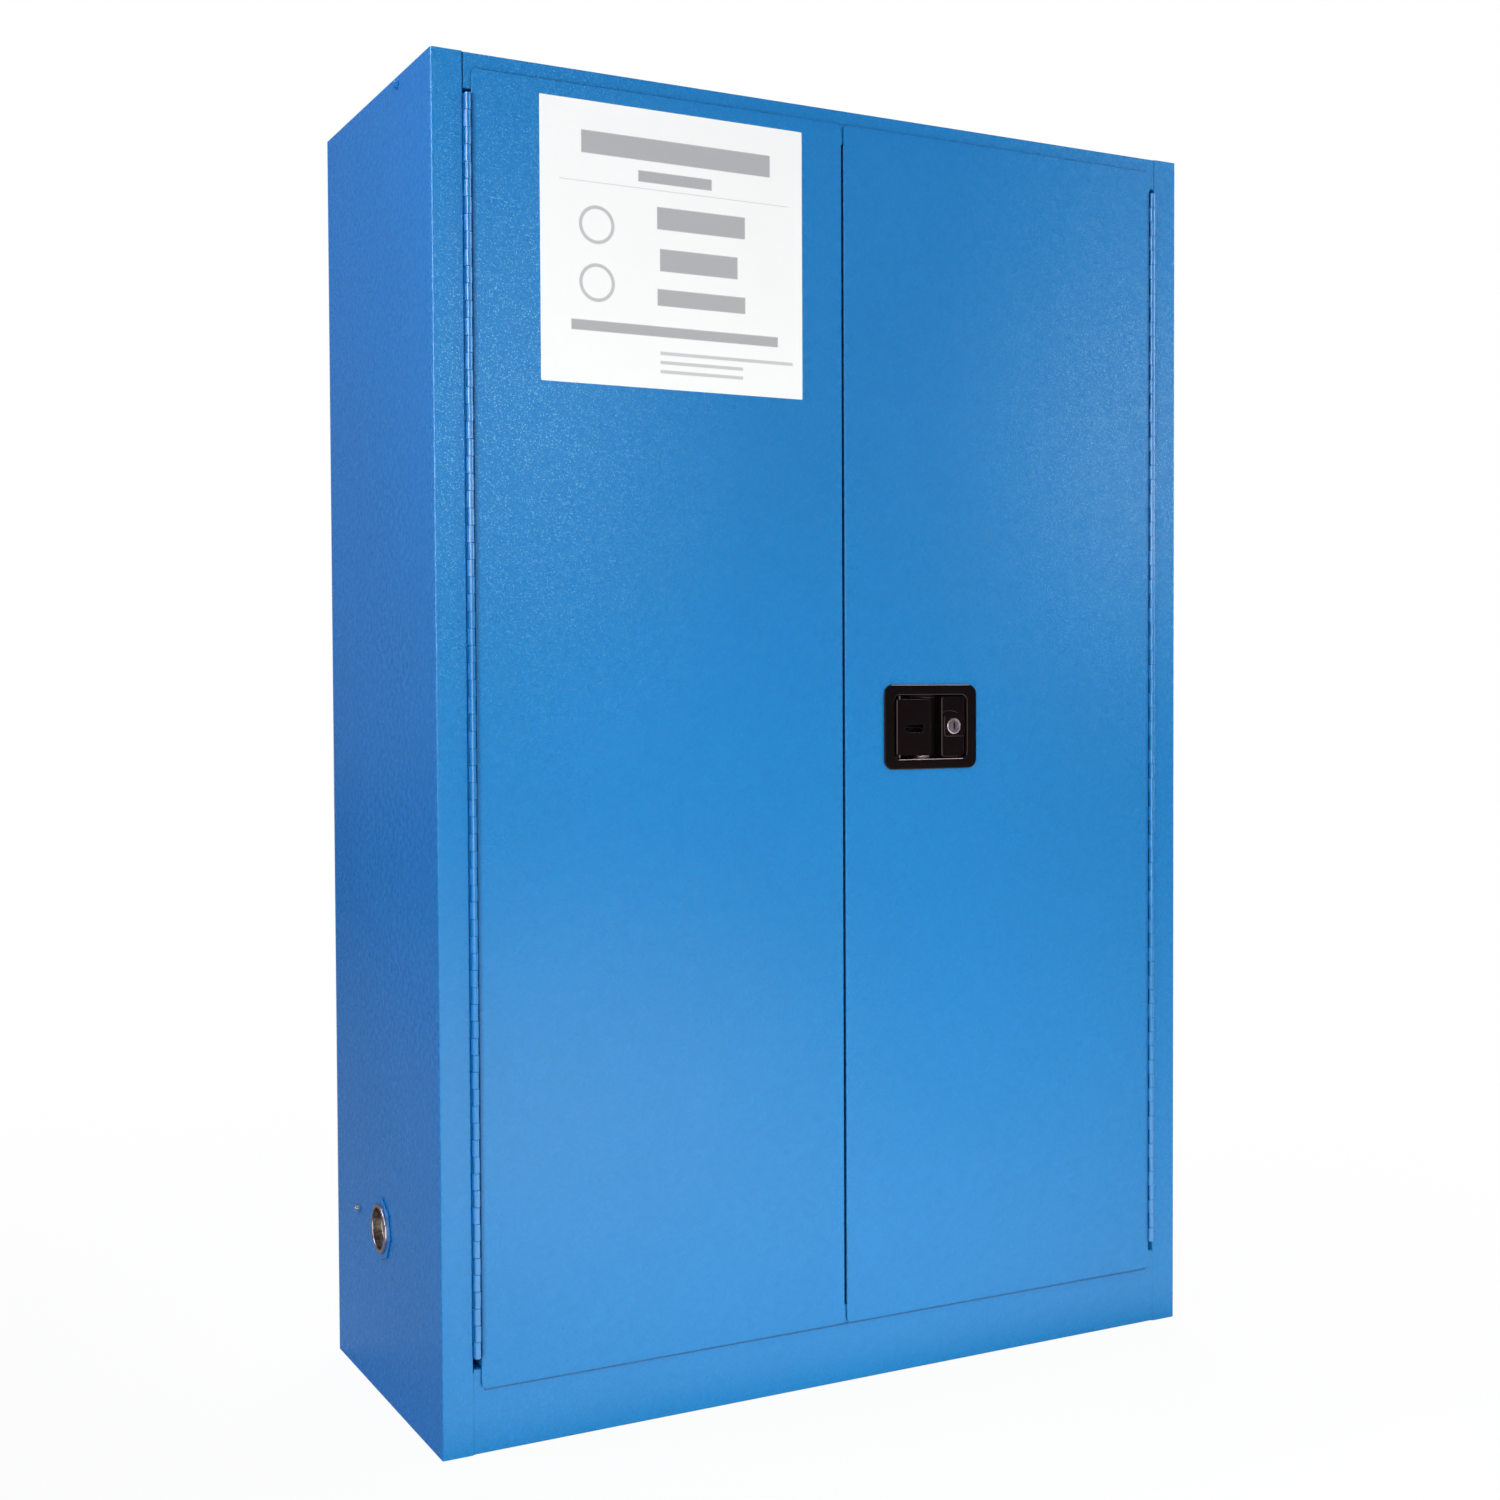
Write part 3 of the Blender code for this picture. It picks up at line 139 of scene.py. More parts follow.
# %% Socket maths and the finish builder
class Value:
    def __init__(self, socket):
        self.socket = socket
        self.tree = socket.id_data

    def math(self, operation, *terms):
        made = self.tree.nodes.new("ShaderNodeMath")
        made.operation = operation
        for place, term in zip(made.inputs, terms):
            feed(self.tree, place, term)
        return Value(made.outputs[0])

    def __add__(self, other):
        return self.math("ADD", self, other)

    __radd__ = __add__

    def __sub__(self, other):
        return self.math("SUBTRACT", self, other)

    def __rsub__(self, other):
        return self.math("SUBTRACT", other, self)

    def __mul__(self, other):
        return self.math("MULTIPLY", self, other)

    __rmul__ = __mul__

    def __truediv__(self, other):
        return self.math("DIVIDE", self, other)

    def __abs__(self):
        return self.math("ABSOLUTE", self)

    def most(self, other):
        return self.math("MAXIMUM", self, other)

    def above(self, edge):
        return self.math("GREATER_THAN", self, edge)

    def wave(self):
        return self.math("SINE", self)

    def root(self):
        return self.math("SQRT", self)


def feed(tree, place, term):
    if isinstance(term, Value):
        tree.links.new(term.socket, place)
    else:
        place.default_value = term


class Finish:
    def __init__(self, name, colour, roughness, metallic=0.0):
        self.material = bpy.data.materials.new(name)
        self.material.use_nodes = True
        self.tree = self.material.node_tree
        self.shader = self.tree.nodes["Principled BSDF"]
        self.set("Base Color", (*colour, 1))
        self.set("Roughness", roughness)
        self.set("Metallic", metallic)

    def set(self, name, term):
        feed(self.tree, self.shader.inputs[name], term)

    def node(self, kind, settings=None, inputs=None, out=0):
        made = self.tree.nodes.new("ShaderNode" + kind)
        for name, choice in (settings or {}).items():
            setattr(made, name, choice)
        for name, term in (inputs or {}).items():
            feed(self.tree, made.inputs[name], term)
        return Value(made.outputs[out])

    def place(self, centre=(0, 0, 0), scale=(1, 1, 1)):
        """Object coordinates, moved so that the pattern's own centre is at zero."""
        point = self.node("TexCoord", out="Object")
        return self.node("Mapping", {"vector_type": "TEXTURE"}, {
            "Vector": point, "Location": centre, "Scale": scale,
        })

    def parts(self, vector):
        return [self.node("SeparateXYZ", inputs={"Vector": vector}, out=i) for i in range(3)]

    def noise(self, vector, scale, detail=2.0, rough=0.5):
        return self.node("TexNoise", inputs={
            "Vector": vector, "Scale": scale, "Detail": detail, "Roughness": rough,
        })

    def spread(self, value, low, high, to_low, to_high):
        """Maps a range to another, and holds it at both ends."""
        return self.node("MapRange", {"clamp": True}, {
            "Value": value, "From Min": low, "From Max": high, "To Min": to_low, "To Max": to_high,
        })

    def mix(self, share, first, second):
        """Mixes two colours."""
        return self.node("Mix", {"data_type": "RGBA"}, {0: share, 6: first, 7: second}, out=2)

    def bump(self, height, strength, distance):
        return self.node("Bump", inputs={"Height": height, "Strength": strength, "Distance": distance})


def shaded(colour, share):
    """A colour made darker or lighter, ready for a socket."""
    return (*(min(1, part * share) for part in colour), 1)


# %% [markdown]
# ## The camera
# The photograph was taken from the left, a little above half the cabinet's height. A camera fitted to the
# six corners of the body that show gives its place, its turn and its lens. The lens' centre lies a little
# to the right of the frame's, which the shift allows for.

# %% Camera
camera_place = Vector((-1.255, -2.4244, 0.910))
yaw, pitch, roll = radians(28.51), radians(-1.61), radians(-0.21)
focal_pixels = 1953.8
frame_pixels = 1500
sensor_width = 36.0
lens_shift = (-0.0355, -0.0057)
far_clip = 100

ahead = Vector((sin(yaw) * cos(pitch), cos(yaw) * cos(pitch), sin(pitch)))
right = Vector((cos(yaw), -sin(yaw), 0))
up = right.cross(ahead)
tilted_right = right * cos(roll) + up * sin(roll)
tilted_up = up * cos(roll) - right * sin(roll)
turn = Matrix((tilted_right, tilted_up, -ahead)).transposed()

camera = bpy.data.objects.new("photo_camera", bpy.data.cameras.new("photo_camera"))
scene.collection.objects.link(camera)
camera.matrix_world = Matrix.Translation(camera_place) @ turn.to_4x4()
camera.data.sensor_width = sensor_width
camera.data.lens = focal_pixels * sensor_width / frame_pixels
camera.data.shift_x, camera.data.shift_y = lens_shift
camera.data.clip_end = far_clip
scene.camera = camera
scene.view_settings.view_transform = "Standard"
print("lens", round(camera.data.lens, 2), "mm")

# %% [markdown]
# ## Light, floor and air
# The photograph has soft light and a white ground. One wide lamp far in front and one on the left give most
# of it. Two small ones are mirrored by the doors as the soft glows where the paint sparkles. Two washes and
# a low strip lighten the doors' upper corners and the rail, and are left out of the mirror images. A bluish
# lamp high on the left lights the side panel from above, which leaves its foot darker. The last three serve
# the back, the top and the right side. Real studios work like this, with large soft boxes and small ones
# that only make a highlight.


# %% Lamps
def soft_lamp(name, place, target, width, height, watts, tint=(1, 1, 1), mirrored=True):
    data = bpy.data.lights.new(name, "AREA")
    data.shape = "RECTANGLE"
    data.size, data.size_y = width, height
    data.energy = watts
    data.color = tint
    lamp = bpy.data.objects.new(name, data)
    scene.collection.objects.link(lamp)
    lamp.location = place
    lamp.rotation_euler = (Vector(target) - Vector(place)).to_track_quat("-Z", "Y").to_euler()
    lamp.visible_camera = False
    lamp.visible_glossy = mirrored
    return lamp


white, yellowish, bluish = (1, 1, 1), (1.0, 1.0, 0.78), (0.58, 0.66, 1.0)
soft_lamp("front_fill", (-2.3, -5.0, 0.80), (0, 0, 0.5), 3.0, 2.2, 63)
soft_lamp("left_glow", (0.45, -2.7, 1.65), (-0.35, -0.2, 1.2), 0.45, 0.9, 3.2)
soft_lamp("right_glow", (2.4, -2.5, 1.6), (0.5, -0.2, 1.3), 0.40, 0.9, 5.0)
soft_lamp("right_wash", (1.5, -1.0, 2.2), (0.6, -0.2, 1.5), 0.5, 0.6, 9.0, white, mirrored=False)
soft_lamp("left_wash", (-1.4, -1.2, 2.1), (-0.5, -0.2, 1.45), 0.5, 0.6, 4.5, white, mirrored=False)
soft_lamp("low_strip", (-0.1, -1.30, 0.22), (-0.1, -0.2, 0.12), 1.1, 0.42, 7.6, yellowish, mirrored=False)
soft_lamp("left_wide", (-2.9, -1.7, 1.9), (-0.6, -0.2, 1.5), 1.1, 1.4, 22)
soft_lamp("side_fill", (-3.4, 0.5, 3.0), (-0.5, 0, 1.3), 1.8, 1.6, 74, bluish)
soft_lamp("back_fill", (2.2, 4.4, 2.4), (0, 0.2, 0.9), 3.0, 2.4, 105)
soft_lamp("top_fill", (0.3, 1.3, 3.7), (0, 0.1, 1.6), 2.0, 1.6, 36)
soft_lamp("right_fill", (4.4, 0.7, 1.6), (0.5, 0, 0.9), 2.0, 2.4, 80)
print("lamps:", len(bpy.data.lights))

# %% [markdown]
# ### The air
# The world is white where the camera sees it. It lights the cabinet a little from all sides, and in
# reflections it is dim in front of the cabinet and brighter behind it, so that the coat keeps its depth.

# %% World
ambient = 0.22
world = bpy.data.worlds.new("studio")
scene.world = world
world.use_nodes = True
air = world.node_tree
background = air.nodes["Background"]
background.inputs["Color"].default_value = (1, 1, 1, 1)
rays = air.nodes.new("ShaderNodeLightPath").outputs
heading = air.nodes.new("ShaderNodeTexCoord")
split = air.nodes.new("ShaderNodeSeparateXYZ")
air.links.new(heading.outputs["Generated"], split.inputs["Vector"])
behind = air.nodes.new("ShaderNodeMapRange")
for name, number in (("From Min", -0.9), ("From Max", 0.5), ("To Min", 0.06), ("To Max", 0.16)):
    behind.inputs[name].default_value = number
air.links.new(split.outputs["Y"], behind.inputs["Value"])

mirror_ray = Value(rays["Is Glossy Ray"]).most(Value(rays["Is Transmission Ray"]))
level = mirror_ray * Value(behind.outputs["Result"]) + (1 - mirror_ray) * ambient
level = level.most(Value(rays["Is Camera Ray"]))
air.links.new(level.socket, background.inputs["Strength"])

# %% [markdown]
# ### The floor
# A wide pale disc. The camera sees it almost white, with a trace of shadow by the cabinet, and further out
# it turns into the same white as the world, so no horizon shows. What the coat mirrors is another matter:
# the floor in front is bright there, and the floor beside the left panel is dim and darker in itself, as
# the photograph's side asks.

# %% Floor
floor_radius = 14.0
pale_tone = 0.80
mesh_data = bmesh.new()
bmesh.ops.create_circle(mesh_data, cap_ends=True, segments=96, radius=floor_radius)
floor = new_piece("floor", mesh_data, recalculate=False)
floor.location.z = -0.0005
pale = Finish("pale_floor", (pale_tone, pale_tone, pale_tone), 0.85)
pale.set("Specular IOR Level", 0.1)
x, y, _ = pale.parts(pale.place())
reach = (x * x + y * y).root()
seen = pale.node("LightPath", out="Is Camera Ray")
mirrored = pale.node("LightPath", out="Is Glossy Ray")
beside = pale.spread(x, -1.2, -0.58, 0.14, pale_tone).most(pale.spread(y, -0.7, -0.3, 0.86, 0.14))
pale.set("Base Color", pale.mix(mirrored, beside, pale.spread(y, -0.7, -0.2, 1.0, 0.24)))
# In mirrored rays the floor in front of the doors glows: a painted reflection that the coat mirrors.
mirror_share = mirrored * pale.spread(x, 0.6, 1.3, 1.0, 0.3) * pale.spread(y, -0.34, -0.235, 1.0, 0.0)
mirror_share = mirror_share * pale.spread(reach, 1.0, 2.3, 1.0, 0.0)
white_share = seen * pale.spread(reach, 0.7, 2.4, 0.95, 1.0) + mirror_share
glow_tone = pale.mix(mirrored, (1, 1, 1, 1), (1.6, 1.6, 1.6, 1))
glow = pale.node("Emission", inputs={"Color": glow_tone, "Strength": 1.0})
both = pale.node("MixShader", inputs={0: white_share, 1: Value(pale.shader.outputs[0]), 2: glow})
pale.tree.links.new(both.socket, pale.tree.nodes["Material Output"].inputs["Surface"])
floor.data.materials.append(pale.material)
print("floor radius", floor_radius)

# %% [markdown]
# ## Powder coat
# Powder coat is plastic dust baked on to the steel. It flows out into a fine orange peel, whose bumps catch
# the soft lights as small sparks. Bumps alone would do up close. At the camera's distance they are finer
# than a pixel, so the grain is half bump and half colour: a noise bumps the surface, and pale flecks are a
# painted sparkle, laid on most thickly on the front's outer, upper parts, where the small lamps are mirrored.
# Under other lights this painted sparkle stays in the same places. The gaps between the sheets are as fine,
# so their dark lines are drawn too: dark joint lines between each stile and its rails, and painted shade
# over and under the doors, beside the hinges and where the doors meet. That last line has no limit in depth,
# so it also runs down the middle of the back panel, where the real cabinet has none.


# %% Dark joint lines, and painted shade in the gaps by the doors
def joint_and_shade_mask(coat, x, y, z):
    """How dark the coat is drawn in the gaps, from 0 to 1: dark joint lines, and painted shade by the doors.
    """
    def line(distance, solid, faded):
        return 1 - coat.spread(abs(distance), solid, faded, 0.0, 1.0)

    on_front = (frame_face_y + 0.0026 - y).above(0)
    behind_doors = y.above(door_face_y + 0.0015)
    seam = line(abs(x) - (opening_x - 0.0001), 0.0004, 0.0008) * on_front
    seam = seam * (z.above(cabinet_height - head_rail) * 0.50 + (opening_low - z).above(0) * 0.20)
    on_rails = on_front * behind_doors * (door_edge_x - 0.0035 - abs(x)).above(0)
    # Painted shadow on the rails under the doors' lower edges, and a fainter one over their upper edges.
    below = line(z - (door_low - 0.0014), 0.0009, 0.0019) * 0.8
    over = line(z - (door_high + 0.0012), 0.0006, 0.0014) * 0.22
    on_door = (door_face_y + 0.007 - y).above(0) * (frame_face_y - 0.001 - y).above(0)
    # Painted shade on the doors' faces beside the hinges.
    painted_hinge_shade = coat.spread(abs(x), door_edge_x - 0.0065, door_edge_x - 0.001, 0.0, 0.62) * on_door
    painted_hinge_shade = painted_hinge_shade * coat.spread(z, hinge_low - 0.001, hinge_low + 0.002, 0.0, 1.0)
    painted_hinge_shade = painted_hinge_shade * (hinge_high - z).above(0)
    # Painted shade in the gap where the doors meet, which also darkens the back panel's middle.
    painted_gap_shade = (0.004 - abs(x)).above(0) * behind_doors * z.above(opening_low + 0.003)
    painted_gap_shade = painted_gap_shade * (cabinet_height - head_rail - 0.0035 - z).above(0)
    return seam.most(on_rails * below.most(over)).most(painted_hinge_shade).most(painted_gap_shade * 0.85)


# %% Blue powder coat
blue = (0.013, 0.204, 0.545)
mottle_scale, sparkle_cell_scale, peel_scale = 520, 560, 400
mottle_tone = (0.0, 0.03, 0.12, 1)
painted_sparkle_tone = (0.34, 0.82, 0.96, 1)
joint_and_shadow_tone = (0.004, 0.035, 0.14, 1)


def powder_coat(name, grain, joints=False, gloss=(0.24, 0.31), shine=0.36):
    coat = Finish(name, blue, 0.36)
    coat.set("Specular IOR Level", shine)
    point = coat.place()
    x, y, z = coat.parts(point)
    cloud = coat.spread(coat.noise(point, 2.2, 3.0), 0.3, 0.7, 0.0, 1.0)
    mottle = coat.spread(coat.noise(point, mottle_scale, 1.0), 0.35, 0.65, 0.08, 0.0) * grain
    tone = coat.mix(mottle, coat.mix(cloud, shaded(blue, 0.965), shaded(blue, 1.035)), mottle_tone)
    cell = {"Vector": point, "Scale": sparkle_cell_scale}
    sparkle_cell = coat.node("TexVoronoi", inputs=cell)
    chance, _, _ = coat.parts(coat.node("TexVoronoi", inputs=cell, out="Color"))
    speck = coat.spread(sparkle_cell, 0.12, 0.46, 1.0, 0.0) * coat.spread(chance, 0.36, 0.92, 0.0, 1.0) * grain
    # Painted sparkle: the pale flecks are laid most thickly where the small lamps are mirrored on the front.
    painted_glint_share = coat.spread(abs(x), 0.14, 0.40, 0.12, 1.0) * coat.spread(z, 0.75, 1.2, 0.10, 1.0)
    painted_glint_share = painted_glint_share * coat.spread(z, 1.35, 1.62, 1.0, 0.5)
    painted_glint_share = painted_glint_share * coat.spread(y, frame_face_y, frame_face_y + 0.01, 1.0, 0.25)
    tone = coat.mix(speck * painted_glint_share * 0.85, tone, painted_sparkle_tone)
    if joints:
        tone = coat.mix(joint_and_shade_mask(coat, x, y, z), tone, joint_and_shadow_tone)
    coat.set("Base Color", tone)
    coat.set("Metallic", speck * 0.12)
    coat.set("Roughness", coat.spread(coat.noise(point, 90), 0.3, 0.7, *gloss))
    coat.set("Normal", coat.bump(coat.noise(point, peel_scale, 1.5, 0.55), 0.28 * grain, 0.0007))
    return coat.material


outer_coat = powder_coat("blue_powder_coat", 1.0, joints=True)
inner_coat = powder_coat("blue_powder_coat_inside", 0.8)
hinge_coat = powder_coat("blue_powder_coat_on_hinge", 0.3, gloss=(0.10, 0.14), shine=0.9)

# %% [markdown]
# ## The metals and the enamel
# The pull handle is steel under black gloss enamel, which mirrors with a warm tint. The lock is nickel
# plated. Pins, rods and keepers are bright zinc, the vents' bungs are turned steel with a stained bar, and
# the shelves are galvanised, whose zinc has frozen in large flat crystals that each catch the light in
# their own way.

# %% Black enamel
enamel = Finish("black_gloss_enamel", (0.0038, 0.0022, 0.0026), 0.20)
enamel.set("Specular Tint", (0.90, 0.66, 0.72, 1))
point = enamel.place()
enamel.set("Roughness", enamel.spread(enamel.noise(point, 300), 0.3, 0.7, 0.11, 0.17))
enamel.set("Normal", enamel.bump(enamel.noise(point, 900, 1.0), 0.06, 0.0004))
black_enamel = enamel.material


# %% Bright metals
def bright_metal(name, colour, roughness, scratch=0.1, stretch=(1, 1, 1)):
    metal = Finish(name, colour, roughness, 1.0)
    point = metal.place(scale=stretch)
    fine = metal.noise(point, 700, 3.0, 0.6)
    patches = metal.spread(metal.noise(point, 60), 0.3, 0.7, 0, 1)
    metal.set("Roughness", metal.spread(fine, 0.3, 0.7, roughness - 0.06, roughness + 0.1))
    metal.set("Base Color", metal.mix(patches, shaded(colour, 0.88), (*colour, 1)))
    metal.set("Normal", metal.bump(fine, scratch, 0.0003))
    return metal.material


nickel_ring = bright_metal("nickel_plate", (0.80, 0.66, 0.67), 0.24)
nickel_plug = bright_metal("worn_nickel", (0.30, 0.27, 0.33), 0.34)
zinc_steel = bright_metal("bright_zinc", (0.66, 0.67, 0.68), 0.30, 0.15, (1, 1, 12))
pin_steel = bright_metal("pin_steel", (0.52, 0.53, 0.56), 0.28)
dark_pin = bright_metal("blackened_pin", (0.10, 0.09, 0.10), 0.34)
stained_bar = bright_metal("stained_bar", (0.34, 0.20, 0.13), 0.30, 0.2)
polished_zinc = bright_metal("polished_zinc", (0.88, 0.86, 0.84), 0.15)
foot_steel = bright_metal("zinc_plated_foot", (0.60, 0.60, 0.58), 0.36)


# %% Turned steel for the bungs
def turned_steel(name, centre):
    """Steel from the lathe, with fine rings round the bung's own axis. The cup is darker above its bar."""
    metal = Finish(name, (0.56, 0.53, 0.50), 0.26, 1.0)
    point = metal.place(centre)
    x, y, z = metal.parts(point)
    away = (y * y + z * z).root()
    rings = (away * 9000 + x * 5200).wave()
    grime = metal.noise(point, 120, 3.0, 0.6)
    metal.set("Normal", metal.bump(rings * 0.5 + grime, 0.10, 0.0002))
    metal.set("Roughness", metal.spread(grime, 0.3, 0.7, 0.18, 0.36))
    tone = metal.mix(metal.spread(grime, 0.35, 0.7, 0, 1), (0.56, 0.52, 0.46, 1), (0.34, 0.30, 0.22, 1))
    tone = metal.mix(metal.spread(z + grime * 0.008, 0.003, 0.014, 0, 0.85), tone, (0.07, 0.055, 0.04, 1))
    tone = metal.mix(metal.spread(away, 0.0258, 0.0270, 0, 1), tone, (0.60, 0.53, 0.56, 1))
    metal.set("Base Color", tone)
    return metal.material


# %% Galvanised steel
spangle = Finish("galvanised_steel", (0.62, 0.64, 0.66), 0.42, 1.0)
point = spangle.place()
wander = spangle.node("TexNoise", inputs={"Vector": point, "Scale": 60.0}, out="Color")
wander = spangle.node("VectorMath", {"operation": "SCALE"}, {0: wander, "Scale": 0.008})
bent = spangle.node("VectorMath", {"operation": "ADD"}, {0: point, 1: wander})
crystal = spangle.node("TexVoronoi", inputs={"Vector": bent, "Scale": 70.0}, out="Color")
shade, _, _ = spangle.parts(crystal)
spangle.set("Base Color", spangle.mix(shade, (0.50, 0.52, 0.55, 1), (0.72, 0.74, 0.76, 1)))
spangle.set("Roughness", spangle.spread(shade, 0, 1, 0.34, 0.52))
spangle.set("Normal", spangle.bump(spangle.noise(point, 900), 0.08, 0.0003))
galvanised = spangle.material
print("finishes:", [m.name for m in bpy.data.materials])

# %% [markdown]
# ## Sheet metal
# The CAD nodes are loose triangles with flat shading, which is right for flat walls. The panels' folds have
# a round outside, so a copy of each panel is merged, its folds are shaded smooth and its flats kept flat
# with weighted normals. The copy then stands for the node. Nothing moves: each copy has the node's own
# points.


# %% Copies that stand for nodes
def merged_copy(node, name):
    mesh_data = bmesh.new()
    mesh_data.from_mesh(frame["nodes"][node].data)
    bmesh.ops.remove_doubles(mesh_data, verts=mesh_data.verts, dist=0.00001)
    bmesh.ops.dissolve_degenerate(mesh_data, edges=mesh_data.edges, dist=0.000005)
    return new_piece(name, mesh_data, recalculate=False)


def soften(piece, sharp_from=50):
    piece.data.shade_smooth()
    piece.data.set_sharp_from_angle(angle=radians(sharp_from))
    weighted = piece.modifiers.new("even_flats", "WEIGHTED_NORMAL")
    weighted.keep_sharp = True
    return piece


def body_of(node):
    return next(body for body, nodes in frame["record"]["behaviour"]["bodies"].items() if node in nodes)


def slot_of(node):
    return next(row["material_slot"] for row in frame["record"]["subparts"] if row["node"] == node)


def stand_for(piece, material, node):
    """Gives a piece its finish and its body, and hides the node that it stands for."""
    piece.data.materials.clear()
    piece.data.materials.append(material)
    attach(piece, body_of(node))
    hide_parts(node)
    slot_of(node)
    return piece


# %% The painted panels and the galvanised shelves
outer_sheets = ["left_side_panel", "right_side_panel", "top_panel", "bottom_rail", "back_panel",
                "left_door_skin", "right_door_skin"]
inner_sheets = ["base_panel", "inner_left_wall", "inner_right_wall", "inner_back_wall", "inner_ceiling",
                "sump_tray", "left_door_liner", "right_door_liner"]
shelf_parts = [node for node in frame["nodes"] if "shelf" in node]
for nodes, material, ending in (
    (outer_sheets, outer_coat, "_painted"),
    (inner_sheets, inner_coat, "_painted"),
    (shelf_parts, galvanised, "_galvanised"),
):
    for node in nodes:
        stand_for(soften(merged_copy(node, node + ending)), material, node)
print("sheets:", len(outer_sheets) + len(inner_sheets), "shelf parts:", len(shelf_parts))

# %% [markdown]
# ### The welds beside the bottom rail
# The rail is welded to the two stiles from behind, so the slit at each of its ends is nearly closed. A thin
# strip in each slit, just behind the stile's face, does that, and it is painted with the frame.

# %% Two strips of weld
weld_width, weld_depth = 0.0044, 0.0010
for side, name in ((-1, "left"), (1, "right")):
    weld = block(name + "_rail_weld", (weld_width, weld_depth, opening_low - 0.0045),
                 (side * (opening_x + 0.0008), frame_face_y + 0.00065, opening_low / 2 - 0.0018))
    weld.data.materials.append(outer_coat)
    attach(weld, body_of("bottom_rail"))
    slot_of("bottom_rail")
print("weld strips of", weld_width, "by", weld_depth)

# %% [markdown]
# ### The light on the corner
# The fold between the left side and its stile mirrors a light as a thin pale line. The lamp for it is seen
# by that panel alone. Its flat faces point elsewhere, so only the fold picks it up.


# %% The lamp for the corner fold
def gleam(name, place, target, width, height, watts, pieces):
    """A lamp that only some pieces mirror, and that lights nothing."""
    lamp = soft_lamp(name, place, target, width, height, watts)
    lamp.visible_diffuse = False
    mirrors = bpy.data.collections.new(name + "_mirrors")
    for piece in pieces:
        mirrors.objects.link(piece)
    lamp.light_linking.receiver_collection = mirrors


gleam("corner_gleam", (-3.1, -2.0, 1.9), (-0.55, -0.2, 1.2), 0.8, 1.8, 110,
      [bpy.data.objects["left_side_panel_painted"]])

# %% [markdown]
# ## Hardware that keeps its CAD shape
# Rods, keepers, guides, pins and feet are plain turned and bent parts. They could be made again with
# rounded edges, but they are small or hidden and their CAD shape is right, so they only get a finish.

# %% Finishes for the CAD nodes
plain_nodes = [
    (zinc_steel, ["upper_rod", "lower_rod", "latch_bolt", "upper_rod_guide", "lower_rod_guide", "top_keeper",
                  "bottom_keeper", "centre_strike", "lock_cam", "left_flame_arrester",
                  "right_flame_arrester"]),
    (pin_steel, ["left_hinge_pin", "right_hinge_pin", "paddle_spring"]),
    (dark_pin, ["paddle_pivot_pin"]),
    (foot_steel, [node for node in frame["nodes"] if node.endswith("levelling_foot")]),
]
for material, nodes in plain_nodes:
    for node in nodes:
        mesh = frame["nodes"][node].data
        mesh.materials.clear()
        mesh.materials.append(material)
print("CAD nodes with a finish:", sum(len(nodes) for _, nodes in plain_nodes))

# %% [markdown]
# ## Continuous hinges
# A continuous hinge is two long strips of sheet cut into fingers. Every other finger is rolled round one
# pin, so the two strips share it. One finger is drawn once, as a J: a straight tongue and a roll of 285
# degrees, which is a little thinner than the tongue so that a fine dark gap shows beside it. Geometry Nodes
# then set it on a line, one knuckle pitch after another. That is how the press makes it, and one number
# changes the whole hinge.

# %% One rolled finger
knuckle_count = 74
leaf_width = 0.028
leaf_thickness = 0.0015
knuckle_gap = 0.0003
knuckle_pitch = (hinge_high - hinge_low) / knuckle_count
rolled_angle = radians(285)
roll_steps = 14
finger_edge = 0.00035
bore = pin_radius + 0.0004
seat_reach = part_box("right_frame_hinge_leaf")[1][0] - hinge_axis.x
barrel = seat_reach - 0.0006
notch_depth = barrel + 0.0003 + leaf_thickness / 2


def rolled_finger(length):
    """A finger round the Z axis: its tongue runs towards +Y on the +X side, and its roll passes the front."""
    outer = [Vector((seat_reach, notch_depth)), Vector((seat_reach, 0))]
    inner = [Vector((bore, notch_depth)), Vector((bore, 0))]
    for step in range(1, roll_steps + 1):
        angle = -rolled_angle * step / roll_steps
        reach = barrel + (seat_reach - barrel) * max(0, 1 - step / 3)
        outer.append(Vector((reach * cos(angle), reach * sin(angle))))
        inner.append(Vector((bore * cos(angle), bore * sin(angle))))
    mesh_data = bmesh.new()
    rows = []
    for z, inset in ((0, finger_edge), (finger_edge, 0), (length - finger_edge, 0), (length, finger_edge)):
        rim = [a + (b - a) * (1 - inset / (b - a).length) for a, b in zip(inner, outer)]
        rows.append([mesh_data.verts.new((*point, z)) for point in inner + rim[::-1]])
    skin(mesh_data, rows)
    for row in (rows[0], rows[-1]):
        for i in range(len(inner) - 1):
            mesh_data.faces.new((row[i], row[i + 1], row[-2 - i], row[-1 - i]))
    piece = new_piece("finger", mesh_data)
    piece.data.shade_smooth()
    piece.data.set_sharp_from_angle(angle=radians(42))
    return piece


finger = rolled_finger(knuckle_pitch - knuckle_gap)
print("faces in a finger:", len(finger.data.polygons))


